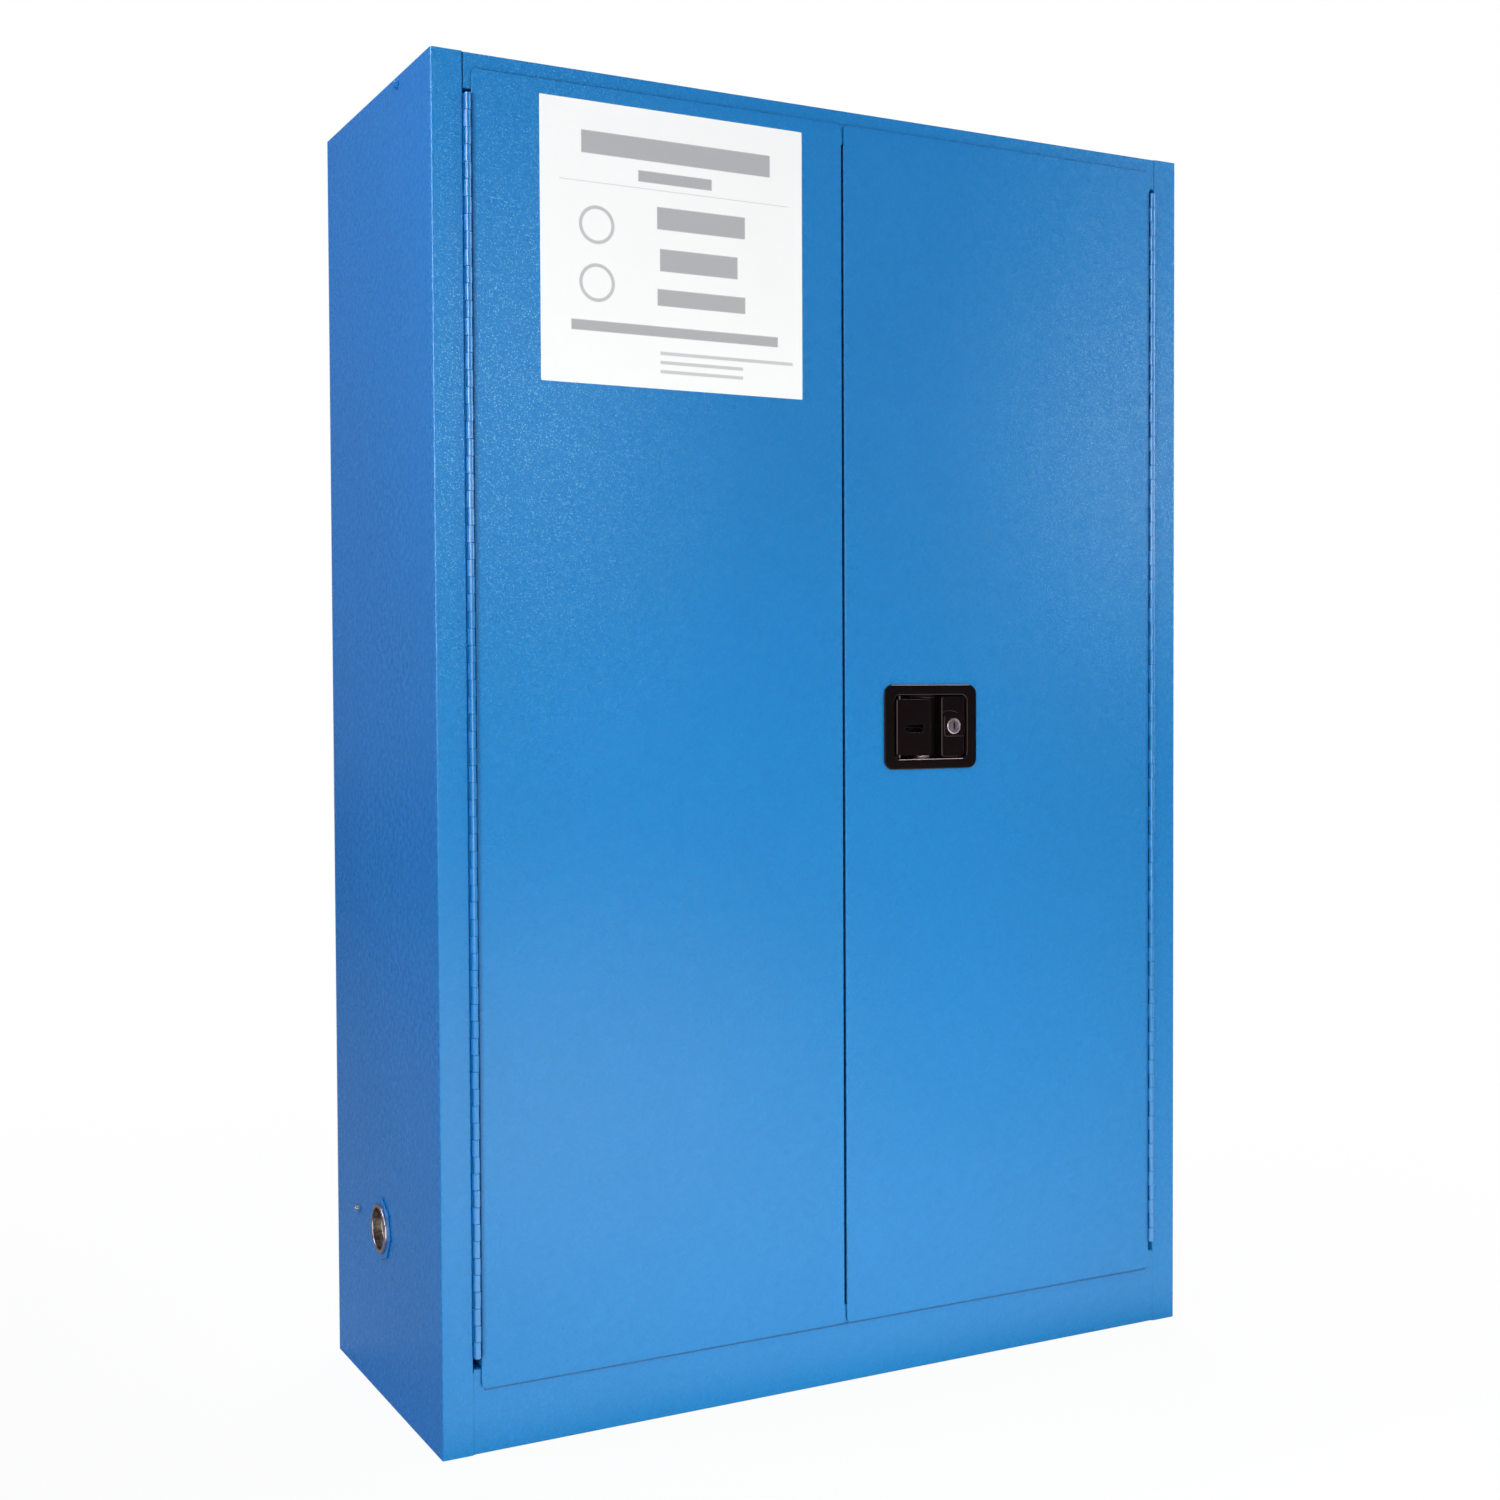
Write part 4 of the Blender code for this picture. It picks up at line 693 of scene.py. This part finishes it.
# %% The row of copies as a node tree
def row_tree():
    """Sets copies of one object on a straight line, and joins them to the modifier's own mesh."""
    tree = bpy.data.node_groups.new("row_of_copies", "GeometryNodeTree")
    tree.interface.new_socket("Geometry", in_out="OUTPUT", socket_type="NodeSocketGeometry")
    for name, kind in (("Geometry", "Geometry"), ("Copied", "Object"), ("Count", "Int"), ("Start", "Vector"),
                       ("Step", "Vector"), ("Finish", "Material")):
        tree.interface.new_socket(name, in_out="INPUT", socket_type="NodeSocket" + kind)
    add = tree.nodes.new
    given, result = add("NodeGroupInput"), add("NodeGroupOutput")
    line, copied, spots, join, real, finish = (add("GeometryNode" + kind) for kind in (
        "MeshLine", "ObjectInfo", "InstanceOnPoints", "JoinGeometry", "RealizeInstances", "SetMaterial"))
    line.mode = "OFFSET"
    for source, output, target, place in (
        (given, "Count", line, "Count"),
        (given, "Start", line, "Start Location"),
        (given, "Step", line, "Offset"),
        (given, "Copied", copied, "Object"),
        (line, "Mesh", spots, "Points"),
        (copied, "Geometry", spots, "Instance"),
        (spots, "Instances", join, "Geometry"),
        (given, "Geometry", join, "Geometry"),
        (join, "Geometry", real, "Geometry"),
        (real, "Geometry", finish, "Geometry"),
        (given, "Finish", finish, "Material"),
        (finish, "Geometry", result, "Geometry"),
    ):
        tree.links.new(source.outputs[output], target.inputs[place])
    return tree


copies_in_a_row = row_tree()


# %% Keeping what modifiers make
def apply_modifiers(piece):
    bpy.context.view_layer.update()
    seen = piece.evaluated_get(bpy.context.evaluated_depsgraph_get())
    mesh = bpy.data.meshes.new_from_object(seen)
    piece.modifiers.clear()
    piece.data = mesh
    mesh.name = piece.name
    return piece


def set_in_a_row(piece, values):
    modifier = piece.modifiers.new(copies_in_a_row.name, "NODES")
    modifier.node_group = copies_in_a_row
    inputs = [item for item in copies_in_a_row.interface.items_tree if item.in_out == "INPUT"]
    names = {item.name: item.identifier for item in inputs}
    for name, value in values.items():
        modifier[names[name]] = value
    return apply_modifiers(piece)


# %% The four leaves
def hinge_leaf(node, side, towards_door, first):
    """A leaf: the long strip behind the notches, with its fingers in front."""
    across = -side if towards_door else side
    near, far = sorted((across * bore, across * seat_reach))
    leaf = block(node + "_rolled", (far - near, leaf_width - notch_depth, hinge_high - hinge_low),
                 ((near + far) / 2, (leaf_width + notch_depth) / 2, (hinge_low + hinge_high) / 2))
    finger_here = finger
    if across < 0:
        finger_here = finger.copy()
        finger_here.data = finger.data.copy()
        finger_here.data.transform(Matrix.Scale(-1, 4, (1, 0, 0)))
        finger_here.data.flip_normals()
        scene.collection.objects.link(finger_here)
    set_in_a_row(leaf, {
        "Copied": finger_here,
        "Count": knuckle_count // 2,
        "Start": (0, 0, hinge_low + first * knuckle_pitch + knuckle_gap / 2),
        "Step": (0, 0, 2 * knuckle_pitch),
        "Finish": hinge_coat,
    })
    if across < 0:
        bpy.data.objects.remove(finger_here)
    leaf.data.transform(Matrix.Translation((side * hinge_axis.x, hinge_axis.y, 0)))
    return stand_for(leaf, hinge_coat, node)


leaves = []
for side, name, door_first in ((-1, "left", 1), (1, "right", 0)):
    leaves.append(hinge_leaf(name + "_frame_hinge_leaf", side, False, 1 - door_first))
    leaves.append(hinge_leaf(name + "_door_hinge_leaf", side, True, door_first))
bpy.data.objects.remove(finger)
print("knuckles:", 2 * knuckle_count)

# %% [markdown]
# ### Two lamps for the knuckles
# A round knuckle mirrors a lamp as an upright line. In the photograph each hinge has a soft pale line on
# its left and a narrow white one on its right, and both fade out half way down. Two tall lamps give these
# lines. They are linked to the hinge leaves, so they light nothing else.

# %% Lamps that only the hinges mirror
gleam("right_gleam", (2.9, -1.9, 2.0), (-0.5, -0.2, 1.3), 1.0, 1.5, 26, leaves)
gleam("left_gleam", (-3.1, -2.5, 2.0), (-0.5, -0.2, 1.3), 1.2, 1.5, 32, leaves)

# %% [markdown]
# ## The pull handle
# A recessed pull: one pressing with a flat flange and a dish, a paddle hinged at its left edge, and a lock
# on a raised platform. A pressing has no sharp corner, so each edge is a short run of rounded outlines,
# lofted one to the next, and the sheet gets its thickness afterwards. All its sizes are measured from the
# middle of the plate.


# %% Rounded outlines, walls and cuts
def on_plate(x, depth, z):
    return Vector((handle_x + x, plate_y + depth, handle_z + z))


def rounded_outline(left, right, low, high, radius, depth, steps=9, place=on_plate):
    """A rectangle with round corners at a depth behind the plate's face, or where another place puts it."""
    points = []
    middles = [(right - radius, high - radius), (left + radius, high - radius),
               (left + radius, low + radius), (right - radius, low + radius)]
    for quarter, (x, z) in enumerate(middles):
        for step in range(steps + 1):
            angle = (quarter + step / steps) * pi / 2
            points.append(place(x + radius * cos(angle), depth, z + radius * sin(angle)))
    return points


def face_front(piece):
    if max(piece.data.polygons, key=lambda face: face.area).normal.y > 0:
        piece.data.flip_normals()


def give_wall(piece, thickness, even=False):
    wall = piece.modifiers.new("wall", "SOLIDIFY")
    wall.thickness = thickness
    wall.offset = -1
    wall.use_even_offset = even
    return apply_modifiers(piece)


def cut(piece, tool):
    modifier = piece.modifiers.new("cut", "BOOLEAN")
    modifier.operation = "DIFFERENCE"
    modifier.object = tool
    apply_modifiers(piece)
    bpy.data.objects.remove(tool)
    return piece


def cut_slot(piece, name, sides, rounding, depths, steps):
    """Cuts a slot with round corners, given by its left, right, lower and upper sides."""
    return cut(piece, loft(name, [rounded_outline(*sides, rounding, depth, steps) for depth in depths]))


def round_edges(piece, width, angle):
    bevel = piece.modifiers.new("round_edges", "BEVEL")
    bevel.width = width
    bevel.segments = 3
    bevel.limit_method = "ANGLE"
    bevel.angle_limit = radians(angle)
    bevel.harden_normals = False
    return apply_modifiers(piece)


# %% The pressed plate and its dish
sheet = 0.0012
plate_round = 0.013
plate_edge = 0.0013
dish_half = (0.0565, 0.0422)
dish_round = 0.008
dish_depth = 0.018
dish_lip = 0.0016
dish_draft = 0.0015
dish_fillet = 0.0028
bend_angles = [step / 5 * pi / 2 for step in range(6)]


def around_middle(half, grow, radius, depth):
    return rounded_outline(-half[0] - grow, half[0] + grow, -half[1] - grow, half[1] + grow, radius, depth)


outlines = []
for angle in bend_angles:
    inset = plate_edge * (1 - cos(angle))
    outlines.append(around_middle(plate_half, -inset, plate_round - inset, plate_edge * (1 - sin(angle))))
for angle in bend_angles:
    grow = dish_lip * (1 - sin(angle))
    outlines.append(around_middle(dish_half, grow, dish_round + grow, dish_lip * (1 - cos(angle))))
for angle in bend_angles:
    inset = dish_draft + dish_fillet * (1 - cos(angle))
    depth = dish_depth - dish_fillet * (1 - sin(angle))
    outlines.append(around_middle(dish_half, -inset, dish_round - dish_draft, depth))
dish = loft("handle_dish_pressed", outlines, first_cap=False)
face_front(dish)
give_wall(dish, sheet)
print("dish faces:", len(dish.data.polygons))


# %% The lock's platform, with its raised boss
corner_round = 0.003


def platform(name, left, low, high, depth, floor_depth, rounding, foot=0):
    """A raised field with a rounded rim. Its left wall slants out by the foot on its way to the floor."""
    right = dish_half[0] - 0.0012
    steps = [(-foot, floor_depth), (0.0004, depth + rounding)]
    for angle in (radians(30), radians(60), radians(90)):
        steps.append((rounding * (1 - cos(angle)), depth + rounding * (1 - sin(angle))))
    return loft(name, [
        rounded_outline(left + inset, right, low + max(0, inset), high - max(0, inset), corner_round, at, 5)
        for inset, at in steps])


platform_half = dish_half[1] - 0.0012
platform_left, platform_depth, platform_round = 0.0198, 0.0055, 0.002
lock_platform = platform("lock_platform", platform_left, -platform_half, platform_half, platform_depth,
                         dish_depth, platform_round, foot=0.0035)
boss_left, boss_low, boss_high = 0.0228, -0.0135, 0.0170
boss_depth, boss_floor, boss_round = 0.0028, 0.0075, 0.0012
boss = platform("lock_boss", boss_left, boss_low, boss_high, boss_depth, boss_floor, boss_round)
overrun = 0.004
tang_hole = (-0.042, -0.006, -0.0042, 0.0002)
cut_slot(dish, "tang_hole", tang_hole, 0.0005, (dish_depth - overrun, dish_depth + overrun), 1)
for piece in (dish, lock_platform, boss):
    stand_for(soften(piece, 38), black_enamel, "handle_dish")
print("faces of the platform and its boss:", len(lock_platform.data.polygons), len(boss.data.polygons))

# %% [markdown]
# ### The crease over the lock
# Above the lock the platform has a small pressed crease, drawn out into a tail to the right. A thin curved
# ridge does it: a row of cross-sections that grow and fade along a shallow arc.

# %% The crease
crease_start, crease_length = 0.0212, 0.0285
crease_low, crease_rise = 0.0183, 0.0042
crease_height, crease_depth = 0.00145, 0.0060
crease_sections = 17
half_turn = [pi * k / 8 for k in range(9)]
sections = []
for i in range(crease_sections):
    share = i / (crease_sections - 1)
    x = crease_start + crease_length * share
    z = crease_low + crease_rise * sin(pi * min(1, share * 1.25)) ** 0.8 * (1 - share * 0.55)
    swell = crease_height * sin(pi * (0.06 + 0.9 * share)) ** 0.6
    sections.append([on_plate(x, crease_depth - swell * sin(angle) * 1.15, z - swell * cos(angle))
                     for angle in half_turn])
crease = loft("lock_platform_crease", sections)
stand_for(soften(crease, 60), black_enamel, "handle_dish")
print("crease faces:", len(crease.data.polygons))

# %% [markdown]
# ### The paddle
# The paddle is a plate that hooks round its pivot at the left and bends in to a finger lip at the right.
# Its section is a smooth path, and the plate is that path swept upwards. Near the left edge the sweep gets
# shorter along a quarter circle, which rounds the two corners. The lip is a little shorter than the plate
# at its top.

# %% The paddle
paddle_half = 0.0365
paddle_wall = 0.0025
paddle_left, paddle_depth = -0.0532, 0.0016
hook_radius, hook_depth = 0.0035, 0.008
lip_start, lip_step = -0.0012, 0.0016
corner = 0.0038
path = [(paddle_left, paddle_depth + hook_depth)]
for step in range(7):
    angle = pi / 2 * step / 6
    path.append((paddle_left + hook_radius * (1 - cos(angle)), paddle_depth + hook_radius * (1 - sin(angle))))
path += [(-0.040 + 0.010 * s, paddle_depth) for s in range(4)] + [(-0.0022, paddle_depth)]
path += [(-0.0022 + 0.0034 * s / 4, paddle_depth + 0.0013 * (s / 4) ** 2) for s in range(1, 5)]
path += [(0.0045, 0.0047), (0.0072, 0.0062)]
mesh_data = bmesh.new()
rows = []
for x, depth in path:
    from_left = x - paddle_left
    high = paddle_half
    if from_left < corner:
        high -= corner - sqrt(max(0, corner ** 2 - (corner - from_left) ** 2))
    low = -high
    if x > lip_start:
        into_lip = min(1, (x - lip_start) / lip_step)
        high -= into_lip * 0.0021
        low += into_lip * 0.0006
    rows.append([mesh_data.verts.new(on_plate(x, depth, low + (high - low) * k / 12)) for k in range(13)])
skin(mesh_data, rows, around=False)
pull = new_piece("paddle_plate", mesh_data)
face_front(pull)
give_wall(pull, paddle_wall, even=True)
paddle_slot = (-0.038, -0.010, -0.007, 0.003)
cut_slot(pull, "paddle_slot", paddle_slot, 0.0008, (-overrun, 2 * overrun), 3)
round_edges(pull, 0.0009, 40)
stand_for(soften(pull, 40), black_enamel, "paddle")
print("paddle faces:", len(pull.data.polygons))

# %% The paddle's ears and its bent tang
ear_inner, ear_outer, ear_radius = 0.018, 0.024, 0.0038
pivot_x, pivot_depth = -0.0445, 0.0078
ear_front = 0.0030
ear_outline = [(pivot_x - ear_radius, ear_front), (pivot_x + ear_radius, ear_front)]
ear_outline += [(pivot_x + ear_radius * cos(angle), pivot_depth + ear_radius * sin(angle))
                for angle in half_turn]
mesh_data = bmesh.new()
for way in (-1, 1):
    rows = [[mesh_data.verts.new(on_plate(x, depth, z)) for x, depth in ear_outline]
            for z in sorted((way * ear_inner, way * ear_outer))]
    skin(mesh_data, rows)
    for row in rows:
        mesh_data.faces.new(row)
ears = new_piece("paddle_ears", mesh_data)
stand_for(soften(ears, 40), black_enamel, "paddle")

tang_end = 0.0193
tang_sections = 15
sections = []
for i in range(tang_sections):
    share = i / (tang_sections - 1)
    x = -0.035 + 0.025 * share
    z = -0.0032 + 0.0030 * sin(pi * share)
    front = 0.0022 + 0.0006 * sin(pi * share)
    section = [(front, z - 0.0008), (front, z + 0.0008), (tang_end, -0.0010), (tang_end, -0.0030)]
    sections.append([on_plate(x, depth, height) for depth, height in section])
tang = loft("paddle_tang", sections)
stand_for(soften(tang, 40), black_enamel, "paddle")
print("faces of the ears and the tang:", len(ears.data.polygons), len(tang.data.polygons))

# %% [markdown]
# ### The lamp over the pull
# In the photograph the plate's upper edge, the dish's lower rim and the top of the paddle each have a thin
# bright line: rounded edges that mirror a light high on the right. The lamp for them is linked to these
# pieces.

# %% The lamp that the handle mirrors
gleam("edge_gleam", (1.45, -1.25, 2.75), (0.1, -0.2, 0.9), 0.9, 0.6, 62, (dish, pull, ears))

# %% [markdown]
# ### The lock
# A turned barrel with a rounded face ring, and a plug with its key slot. Both come off a lathe, so both are
# profiles spun round the lock's axis. The key slot is cut after.


# %% Turned pieces
def turned(name, profile, start, axis, sides=48, closed=False):
    """Spins (radius, distance) pairs round an axis."""
    axis = Vector(axis)
    across = axis.orthogonal().normalized()
    mesh_data = bmesh.new()
    points = [mesh_data.verts.new(Vector(start) + across * r + axis * t) for r, t in profile]
    pairs = list(zip(points, points[1:])) + ([(points[-1], points[0])] if closed else [])
    edges = [mesh_data.edges.new(pair) for pair in pairs]
    bmesh.ops.spin(mesh_data, geom=points + edges, cent=start, axis=axis, angle=2 * pi, steps=sides,
                   use_merge=True)
    bmesh.ops.remove_doubles(mesh_data, verts=mesh_data.verts, dist=0.000002)
    return new_piece(name, mesh_data)


def fillet_points(centre_r, centre_t, radius, start, end, steps=5):
    """Points of an arc in a profile, for a rounded rim."""
    angles = [start + (end - start) * i / steps for i in range(steps + 1)]
    return [(centre_r + radius * cos(a), centre_t + radius * sin(a)) for a in angles]


# %% The lock's ring
low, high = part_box("lock_barrel")
lock_x, lock_z = (low[0] + high[0]) / 2 - handle_x, (low[2] + high[2]) / 2 - handle_z
ring_radius = (high[0] - low[0]) / 2 - 0.0004
ring_face = low[1] - plate_y + 0.0012
barrel_length = high[1] - plate_y - ring_face
barrel_radius = 0.0095
inner_rim, outer_rim = 0.0006, 0.0012
low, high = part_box("lock_plug")
plug_radius = (high[0] - low[0]) / 2
plug_face, plug_length = low[1] - plate_y, high[1] - low[1]
bore_radius = plug_radius + 0.0003
seat = boss_depth - 0.0003 - ring_face
profile = [(bore_radius, barrel_length), (bore_radius, inner_rim)]
profile += fillet_points(bore_radius + inner_rim, inner_rim, inner_rim, pi, 1.5 * pi)
profile += fillet_points(ring_radius - outer_rim, outer_rim, outer_rim, 1.5 * pi, 2 * pi)
profile += [(ring_radius, seat), (barrel_radius, seat), (barrel_radius, barrel_length)]
ring = turned("lock_ring", profile, on_plate(lock_x, ring_face, lock_z), (0, 1, 0), closed=True)
stand_for(soften(ring, 40), nickel_ring, "lock_barrel")

# %% The lock's plug
key_half_width, key_half_height, key_depth = 0.0014, 0.0045, 0.009
profile = [(0, 0.0003), (0.0046, 0.0003), (0.0049, 0.0006), (0.0054, 0.0006), (0.0057, 0.0002)]
profile += [(plug_radius - 0.0005, 0.0002), (plug_radius, 0.0007)]
profile += [(plug_radius, plug_length), (0, plug_length)]
plug = turned("lock_plug_faced", profile, on_plate(lock_x, plug_face, lock_z), (0, 1, 0))
key_slot = (lock_x - key_half_width, lock_x + key_half_width,
            lock_z - key_half_height, lock_z + key_half_height)
cut_slot(plug, "key_slot", key_slot, 0.0004, (-0.005, plug_face + key_depth), 2)
stand_for(soften(plug, 35), nickel_plug, "lock_plug")
print("lock at", round(lock_x, 4), round(lock_z, 4))
print("ring radius", round(ring_radius, 4), "plug radius", round(plug_radius, 4))

# %% [markdown]
# ## The vents
# Each side has a vent with a threaded steel bung. The flange is an octagon, welded on and painted over. The
# bung is turned: a smooth rim, a deep cup that is drawn darker above, and a copper-brown bar across it that a
# bung wrench grips.

# %% Bungs
cup_radius, bung_radius = 0.0262, 0.0280
bar_low, bar_high, bar_drop, bar_thickness = 0.006, 0.017, 0.0055, 0.004


def bung(node, side):
    low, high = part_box(node)
    centre_y, centre_z = (low[1] + high[1]) / 2, (low[2] + high[2]) / 2
    rim_radius = (high[2] - low[2]) / 2
    seat_x = (high[0] if side > 0 else low[0]) - side * 0.003
    profile = [(0, -0.012), (cup_radius - 0.003, -0.012)]
    profile += fillet_points(cup_radius - 0.003, -0.009, 0.003, 1.5 * pi, 2 * pi)
    profile += [(cup_radius, 0.0010)]
    profile += fillet_points(cup_radius + 0.0018, 0.0012, 0.0018, pi, 0.5 * pi)
    profile += fillet_points(rim_radius - 0.0022, 0.0008, 0.0022, 0.5 * pi, 0)
    profile += [(rim_radius, 0), (bung_radius, 0), (bung_radius, -0.014), (0, -0.014)]
    piece = turned(node + "_turned", profile, (seat_x, centre_y, centre_z), (side, 0, 0), 72)
    metal = turned_steel("turned_steel_" + node, (seat_x, centre_y, centre_z))
    stand_for(soften(piece, 40), metal, node)

    half_low, half_high = (sqrt(cup_radius ** 2 - z ** 2) + 0.0009 for z in (bar_low, bar_high))
    outline = [(-half_low, bar_low), (half_low, bar_low), (half_high, bar_high), (-half_high, bar_high)]
    front = seat_x - side * bar_drop
    bar = loft(node + "_bar", [[(x, centre_y + y, centre_z + z) for y, z in outline]
                               for x in (front, front - side * bar_thickness)])
    round_edges(bar, 0.0008, 50)
    stand_for(soften(bar, 40), stained_bar, node)


for side, name in ((-1, "left"), (1, "right")):
    bung(name + "_vent_bung", side)
    flange = merged_copy(name + "_vent_flange", name + "_vent_flange_painted")
    stand_for(soften(flange, 40), outer_coat, name + "_vent_flange")
print("bungs with a cup of", cup_radius, "and a rim on a body of", bung_radius)

# %% [markdown]
# ## The earthing stud and the side screw
# The earthing stud carries a hexagon nut. A thread is a helix, but at this size a row of close rings looks
# the same, so the row tree that set the knuckles sets the thread's ridges too. High on the side is a
# pan-headed screw with a cross recess, painted over with the panel.

# %% The earthing stud with its thread
low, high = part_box("earthing_stud")
stud_y, stud_z = (low[1] + high[1]) / 2, (low[2] + high[2]) / 2
stud_root = high[0]
stud_length = high[0] - low[0]
stud_head, head_radius = 0.002, 0.006
stud_chamfer = 0.0006
thread_pitch = 0.0006
thread_radius, core_radius = 0.003, 0.0026
ridge_root = core_radius - 0.0002
profile = [(0, 0), (head_radius, 0), (head_radius, stud_head), (core_radius, stud_head)]
profile += [(core_radius, stud_length - stud_chamfer), (core_radius - stud_chamfer, stud_length)]
profile += [(0, stud_length)]
stud = turned("earthing_stud_threaded", profile, (stud_root, stud_y, stud_z), (-1, 0, 0), 24)
profile = [(ridge_root, 0), (thread_radius, thread_pitch / 2), (ridge_root, thread_pitch)]
ridge = turned("thread_ridge", profile, (0, 0, 0), (-1, 0, 0), 20, closed=True)
set_in_a_row(stud, {
    "Copied": ridge,
    "Count": int((stud_length - stud_head - 0.0008) / thread_pitch),
    "Start": (stud_root - stud_head - 0.0002, stud_y, stud_z),
    "Step": (-thread_pitch, 0, 0),
    "Finish": polished_zinc,
})
bpy.data.objects.remove(ridge)
stand_for(soften(stud, 35), polished_zinc, "earthing_stud")
print("stud length", round(stud_length, 4), "at", round(stud_y, 4), round(stud_z, 4))

# %% Its nut
low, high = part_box("earthing_nut")
nut_radius = (high[1] - low[1]) / 2
nut_chamfer = 0.0006
nut_hole = thread_radius + 0.0003
nut_points = 24
mesh_data = bmesh.new()
rings = []
for radius, x in ((nut_hole, low[0]), (nut_radius * 0.90, low[0]), (nut_radius, low[0] + nut_chamfer),
                  (nut_radius, high[0]), (nut_hole, high[0])):
    rings.append([])
    for i in range(nut_points):
        angle = i * 2 * pi / nut_points
        reach = radius
        if radius > nut_hole:
            reach = min(radius, nut_radius * cos(pi / 6) / cos((angle % (pi / 3)) - pi / 6))
        rings[-1].append(mesh_data.verts.new((x, stud_y + reach * cos(angle), stud_z + reach * sin(angle))))
skin(mesh_data, rings + rings[:1])
nut = new_piece("earthing_nut_chamfered", mesh_data)
stand_for(soften(nut, 25), polished_zinc, "earthing_nut")
print("nut radius", round(nut_radius, 4))

# %% The side screw
low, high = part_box("side_screw")
screw_y, screw_z = (low[1] + high[1]) / 2, (low[2] + high[2]) / 2
washer_radius, washer_edge = (high[1] - low[1]) / 2, 0.0003
shank_radius, pan_radius = 0.0025, 0.0042
panel_reach = high[0] + half_width + 0.0003
washer_top = panel_reach + 0.0012
top = high[0] - low[0]
profile = [(0, 0), (shank_radius, 0), (shank_radius, panel_reach), (washer_radius - washer_edge, panel_reach),
           (washer_radius, panel_reach + washer_edge), (washer_radius, washer_top - washer_edge),
           (washer_radius - washer_edge, washer_top), (pan_radius, washer_top), (pan_radius, top - 0.0016),
           (0.0036, top - 0.0006), (0.0024, top - 0.0001), (0, top)]
screw = turned("side_screw_painted", profile, (high[0], screw_y, screw_z), (-1, 0, 0), 32)
recess_long, recess_wide, recess_depth = 0.0040, 0.0009, 0.0022
for wide, tall in ((recess_long, recess_wide), (recess_wide, recess_long)):
    cut(screw, block("recess", (recess_depth, wide, tall), (low[0], screw_y, screw_z)))
stand_for(soften(screw, 35), outer_coat, "side_screw")
print("screw at", round(screw_y, 4), round(screw_z, 4))

# %% [markdown]
# ## The blank notice on the left door
# A sheet of white film sits high on the left door. Here it stays a blank form: a thin rule, two rings and
# plain grey bars. The sheet is a real thin piece with round corners. What is printed on it has no
# thickness, so its finish draws the bars from the sheet's own measurements.

# %% The notice's film
notice_left, notice_right = -0.4135, -0.0600
notice_low, notice_high = 1.2755, 1.6135
film_white = (0.93, 0.94, 0.95)
film = Finish("white_film", film_white, 0.42)
point = film.place()
x, _, z = film.parts(point)
across = (x - notice_left) / (notice_right - notice_left)
down = (notice_high - z) / (notice_high - notice_low)


def bar_mask(left, right, top, bottom, soft=0.0015):
    """1 inside a rectangle given as shares of the sheet, and 0 outside."""
    inside = []
    for share, start, end in ((across, left, right), (down, top, bottom)):
        half = (end - start) / 2
        inside.append(film.spread(abs(share - (start + end) / 2), half - soft, half + soft, 1, 0))
    return inside[0] * inside[1]


def ring_mask(from_left, from_top, radius, wide_to_high=1.046):
    """0.8 on a thin ring, and 0 elsewhere."""
    wide, tall = (across - from_left) * wide_to_high, down - from_top
    away = (wide * wide + tall * tall).root()
    return film.spread(abs(away - radius), 0.0045, 0.0075, 1, 0) * 0.8


dark_bars = [(0.15, 0.87, 0.105, 0.185), (0.36, 0.64, 0.222, 0.262), (0.43, 0.77, 0.345, 0.425),
             (0.44, 0.74, 0.495, 0.575), (0.43, 0.77, 0.640, 0.700), (0.11, 0.90, 0.775, 0.812)]
thin_bars = [(0.07, 0.945, 0.2845, 0.2865), (0.44, 0.96, 0.865, 0.877), (0.44, 0.76, 0.898, 0.910),
             (0.44, 0.76, 0.931, 0.943)]
rings = [(0.205, 0.435, 0.062), (0.205, 0.640, 0.062)]
dark = reduce(Value.most, [bar_mask(*bar) for bar in dark_bars] + [ring_mask(*ring) for ring in rings])
thin = reduce(Value.most, [bar_mask(*bar) for bar in thin_bars])
tone = film.mix(dark * 0.80, (*film_white, 1), (0.30, 0.31, 0.33, 1))
film.set("Base Color", film.mix(thin * 0.60, tone, (0.35, 0.36, 0.38, 1)))
film.set("Roughness", film.spread(film.noise(point, 14), 0.3, 0.7, 0.38, 0.5))
film.set("Normal", film.bump(film.noise(point, 35), 0.05, 0.0008))
print("bars and rings on the notice:", len(dark_bars) + len(thin_bars) + len(rings))

# %% The notice's sheet
film_back, film_front = door_face_y - 0.00002, door_face_y - 0.00025
film_corner = 0.0015
film_edge = 0.0001


def as_given(x, y, z):
    return x, y, z


notice = loft("blank_notice", [
    rounded_outline(notice_left + inset, notice_right - inset, notice_low + inset, notice_high - inset,
                    film_corner - inset, y, 4, as_given)
    for y, inset in ((film_back, 0), (film_front, film_edge))])
notice.data.materials.append(film.material)
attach(notice, "left_door")
print("notice", round(notice_right - notice_left, 4), "by", round(notice_high - notice_low, 4))
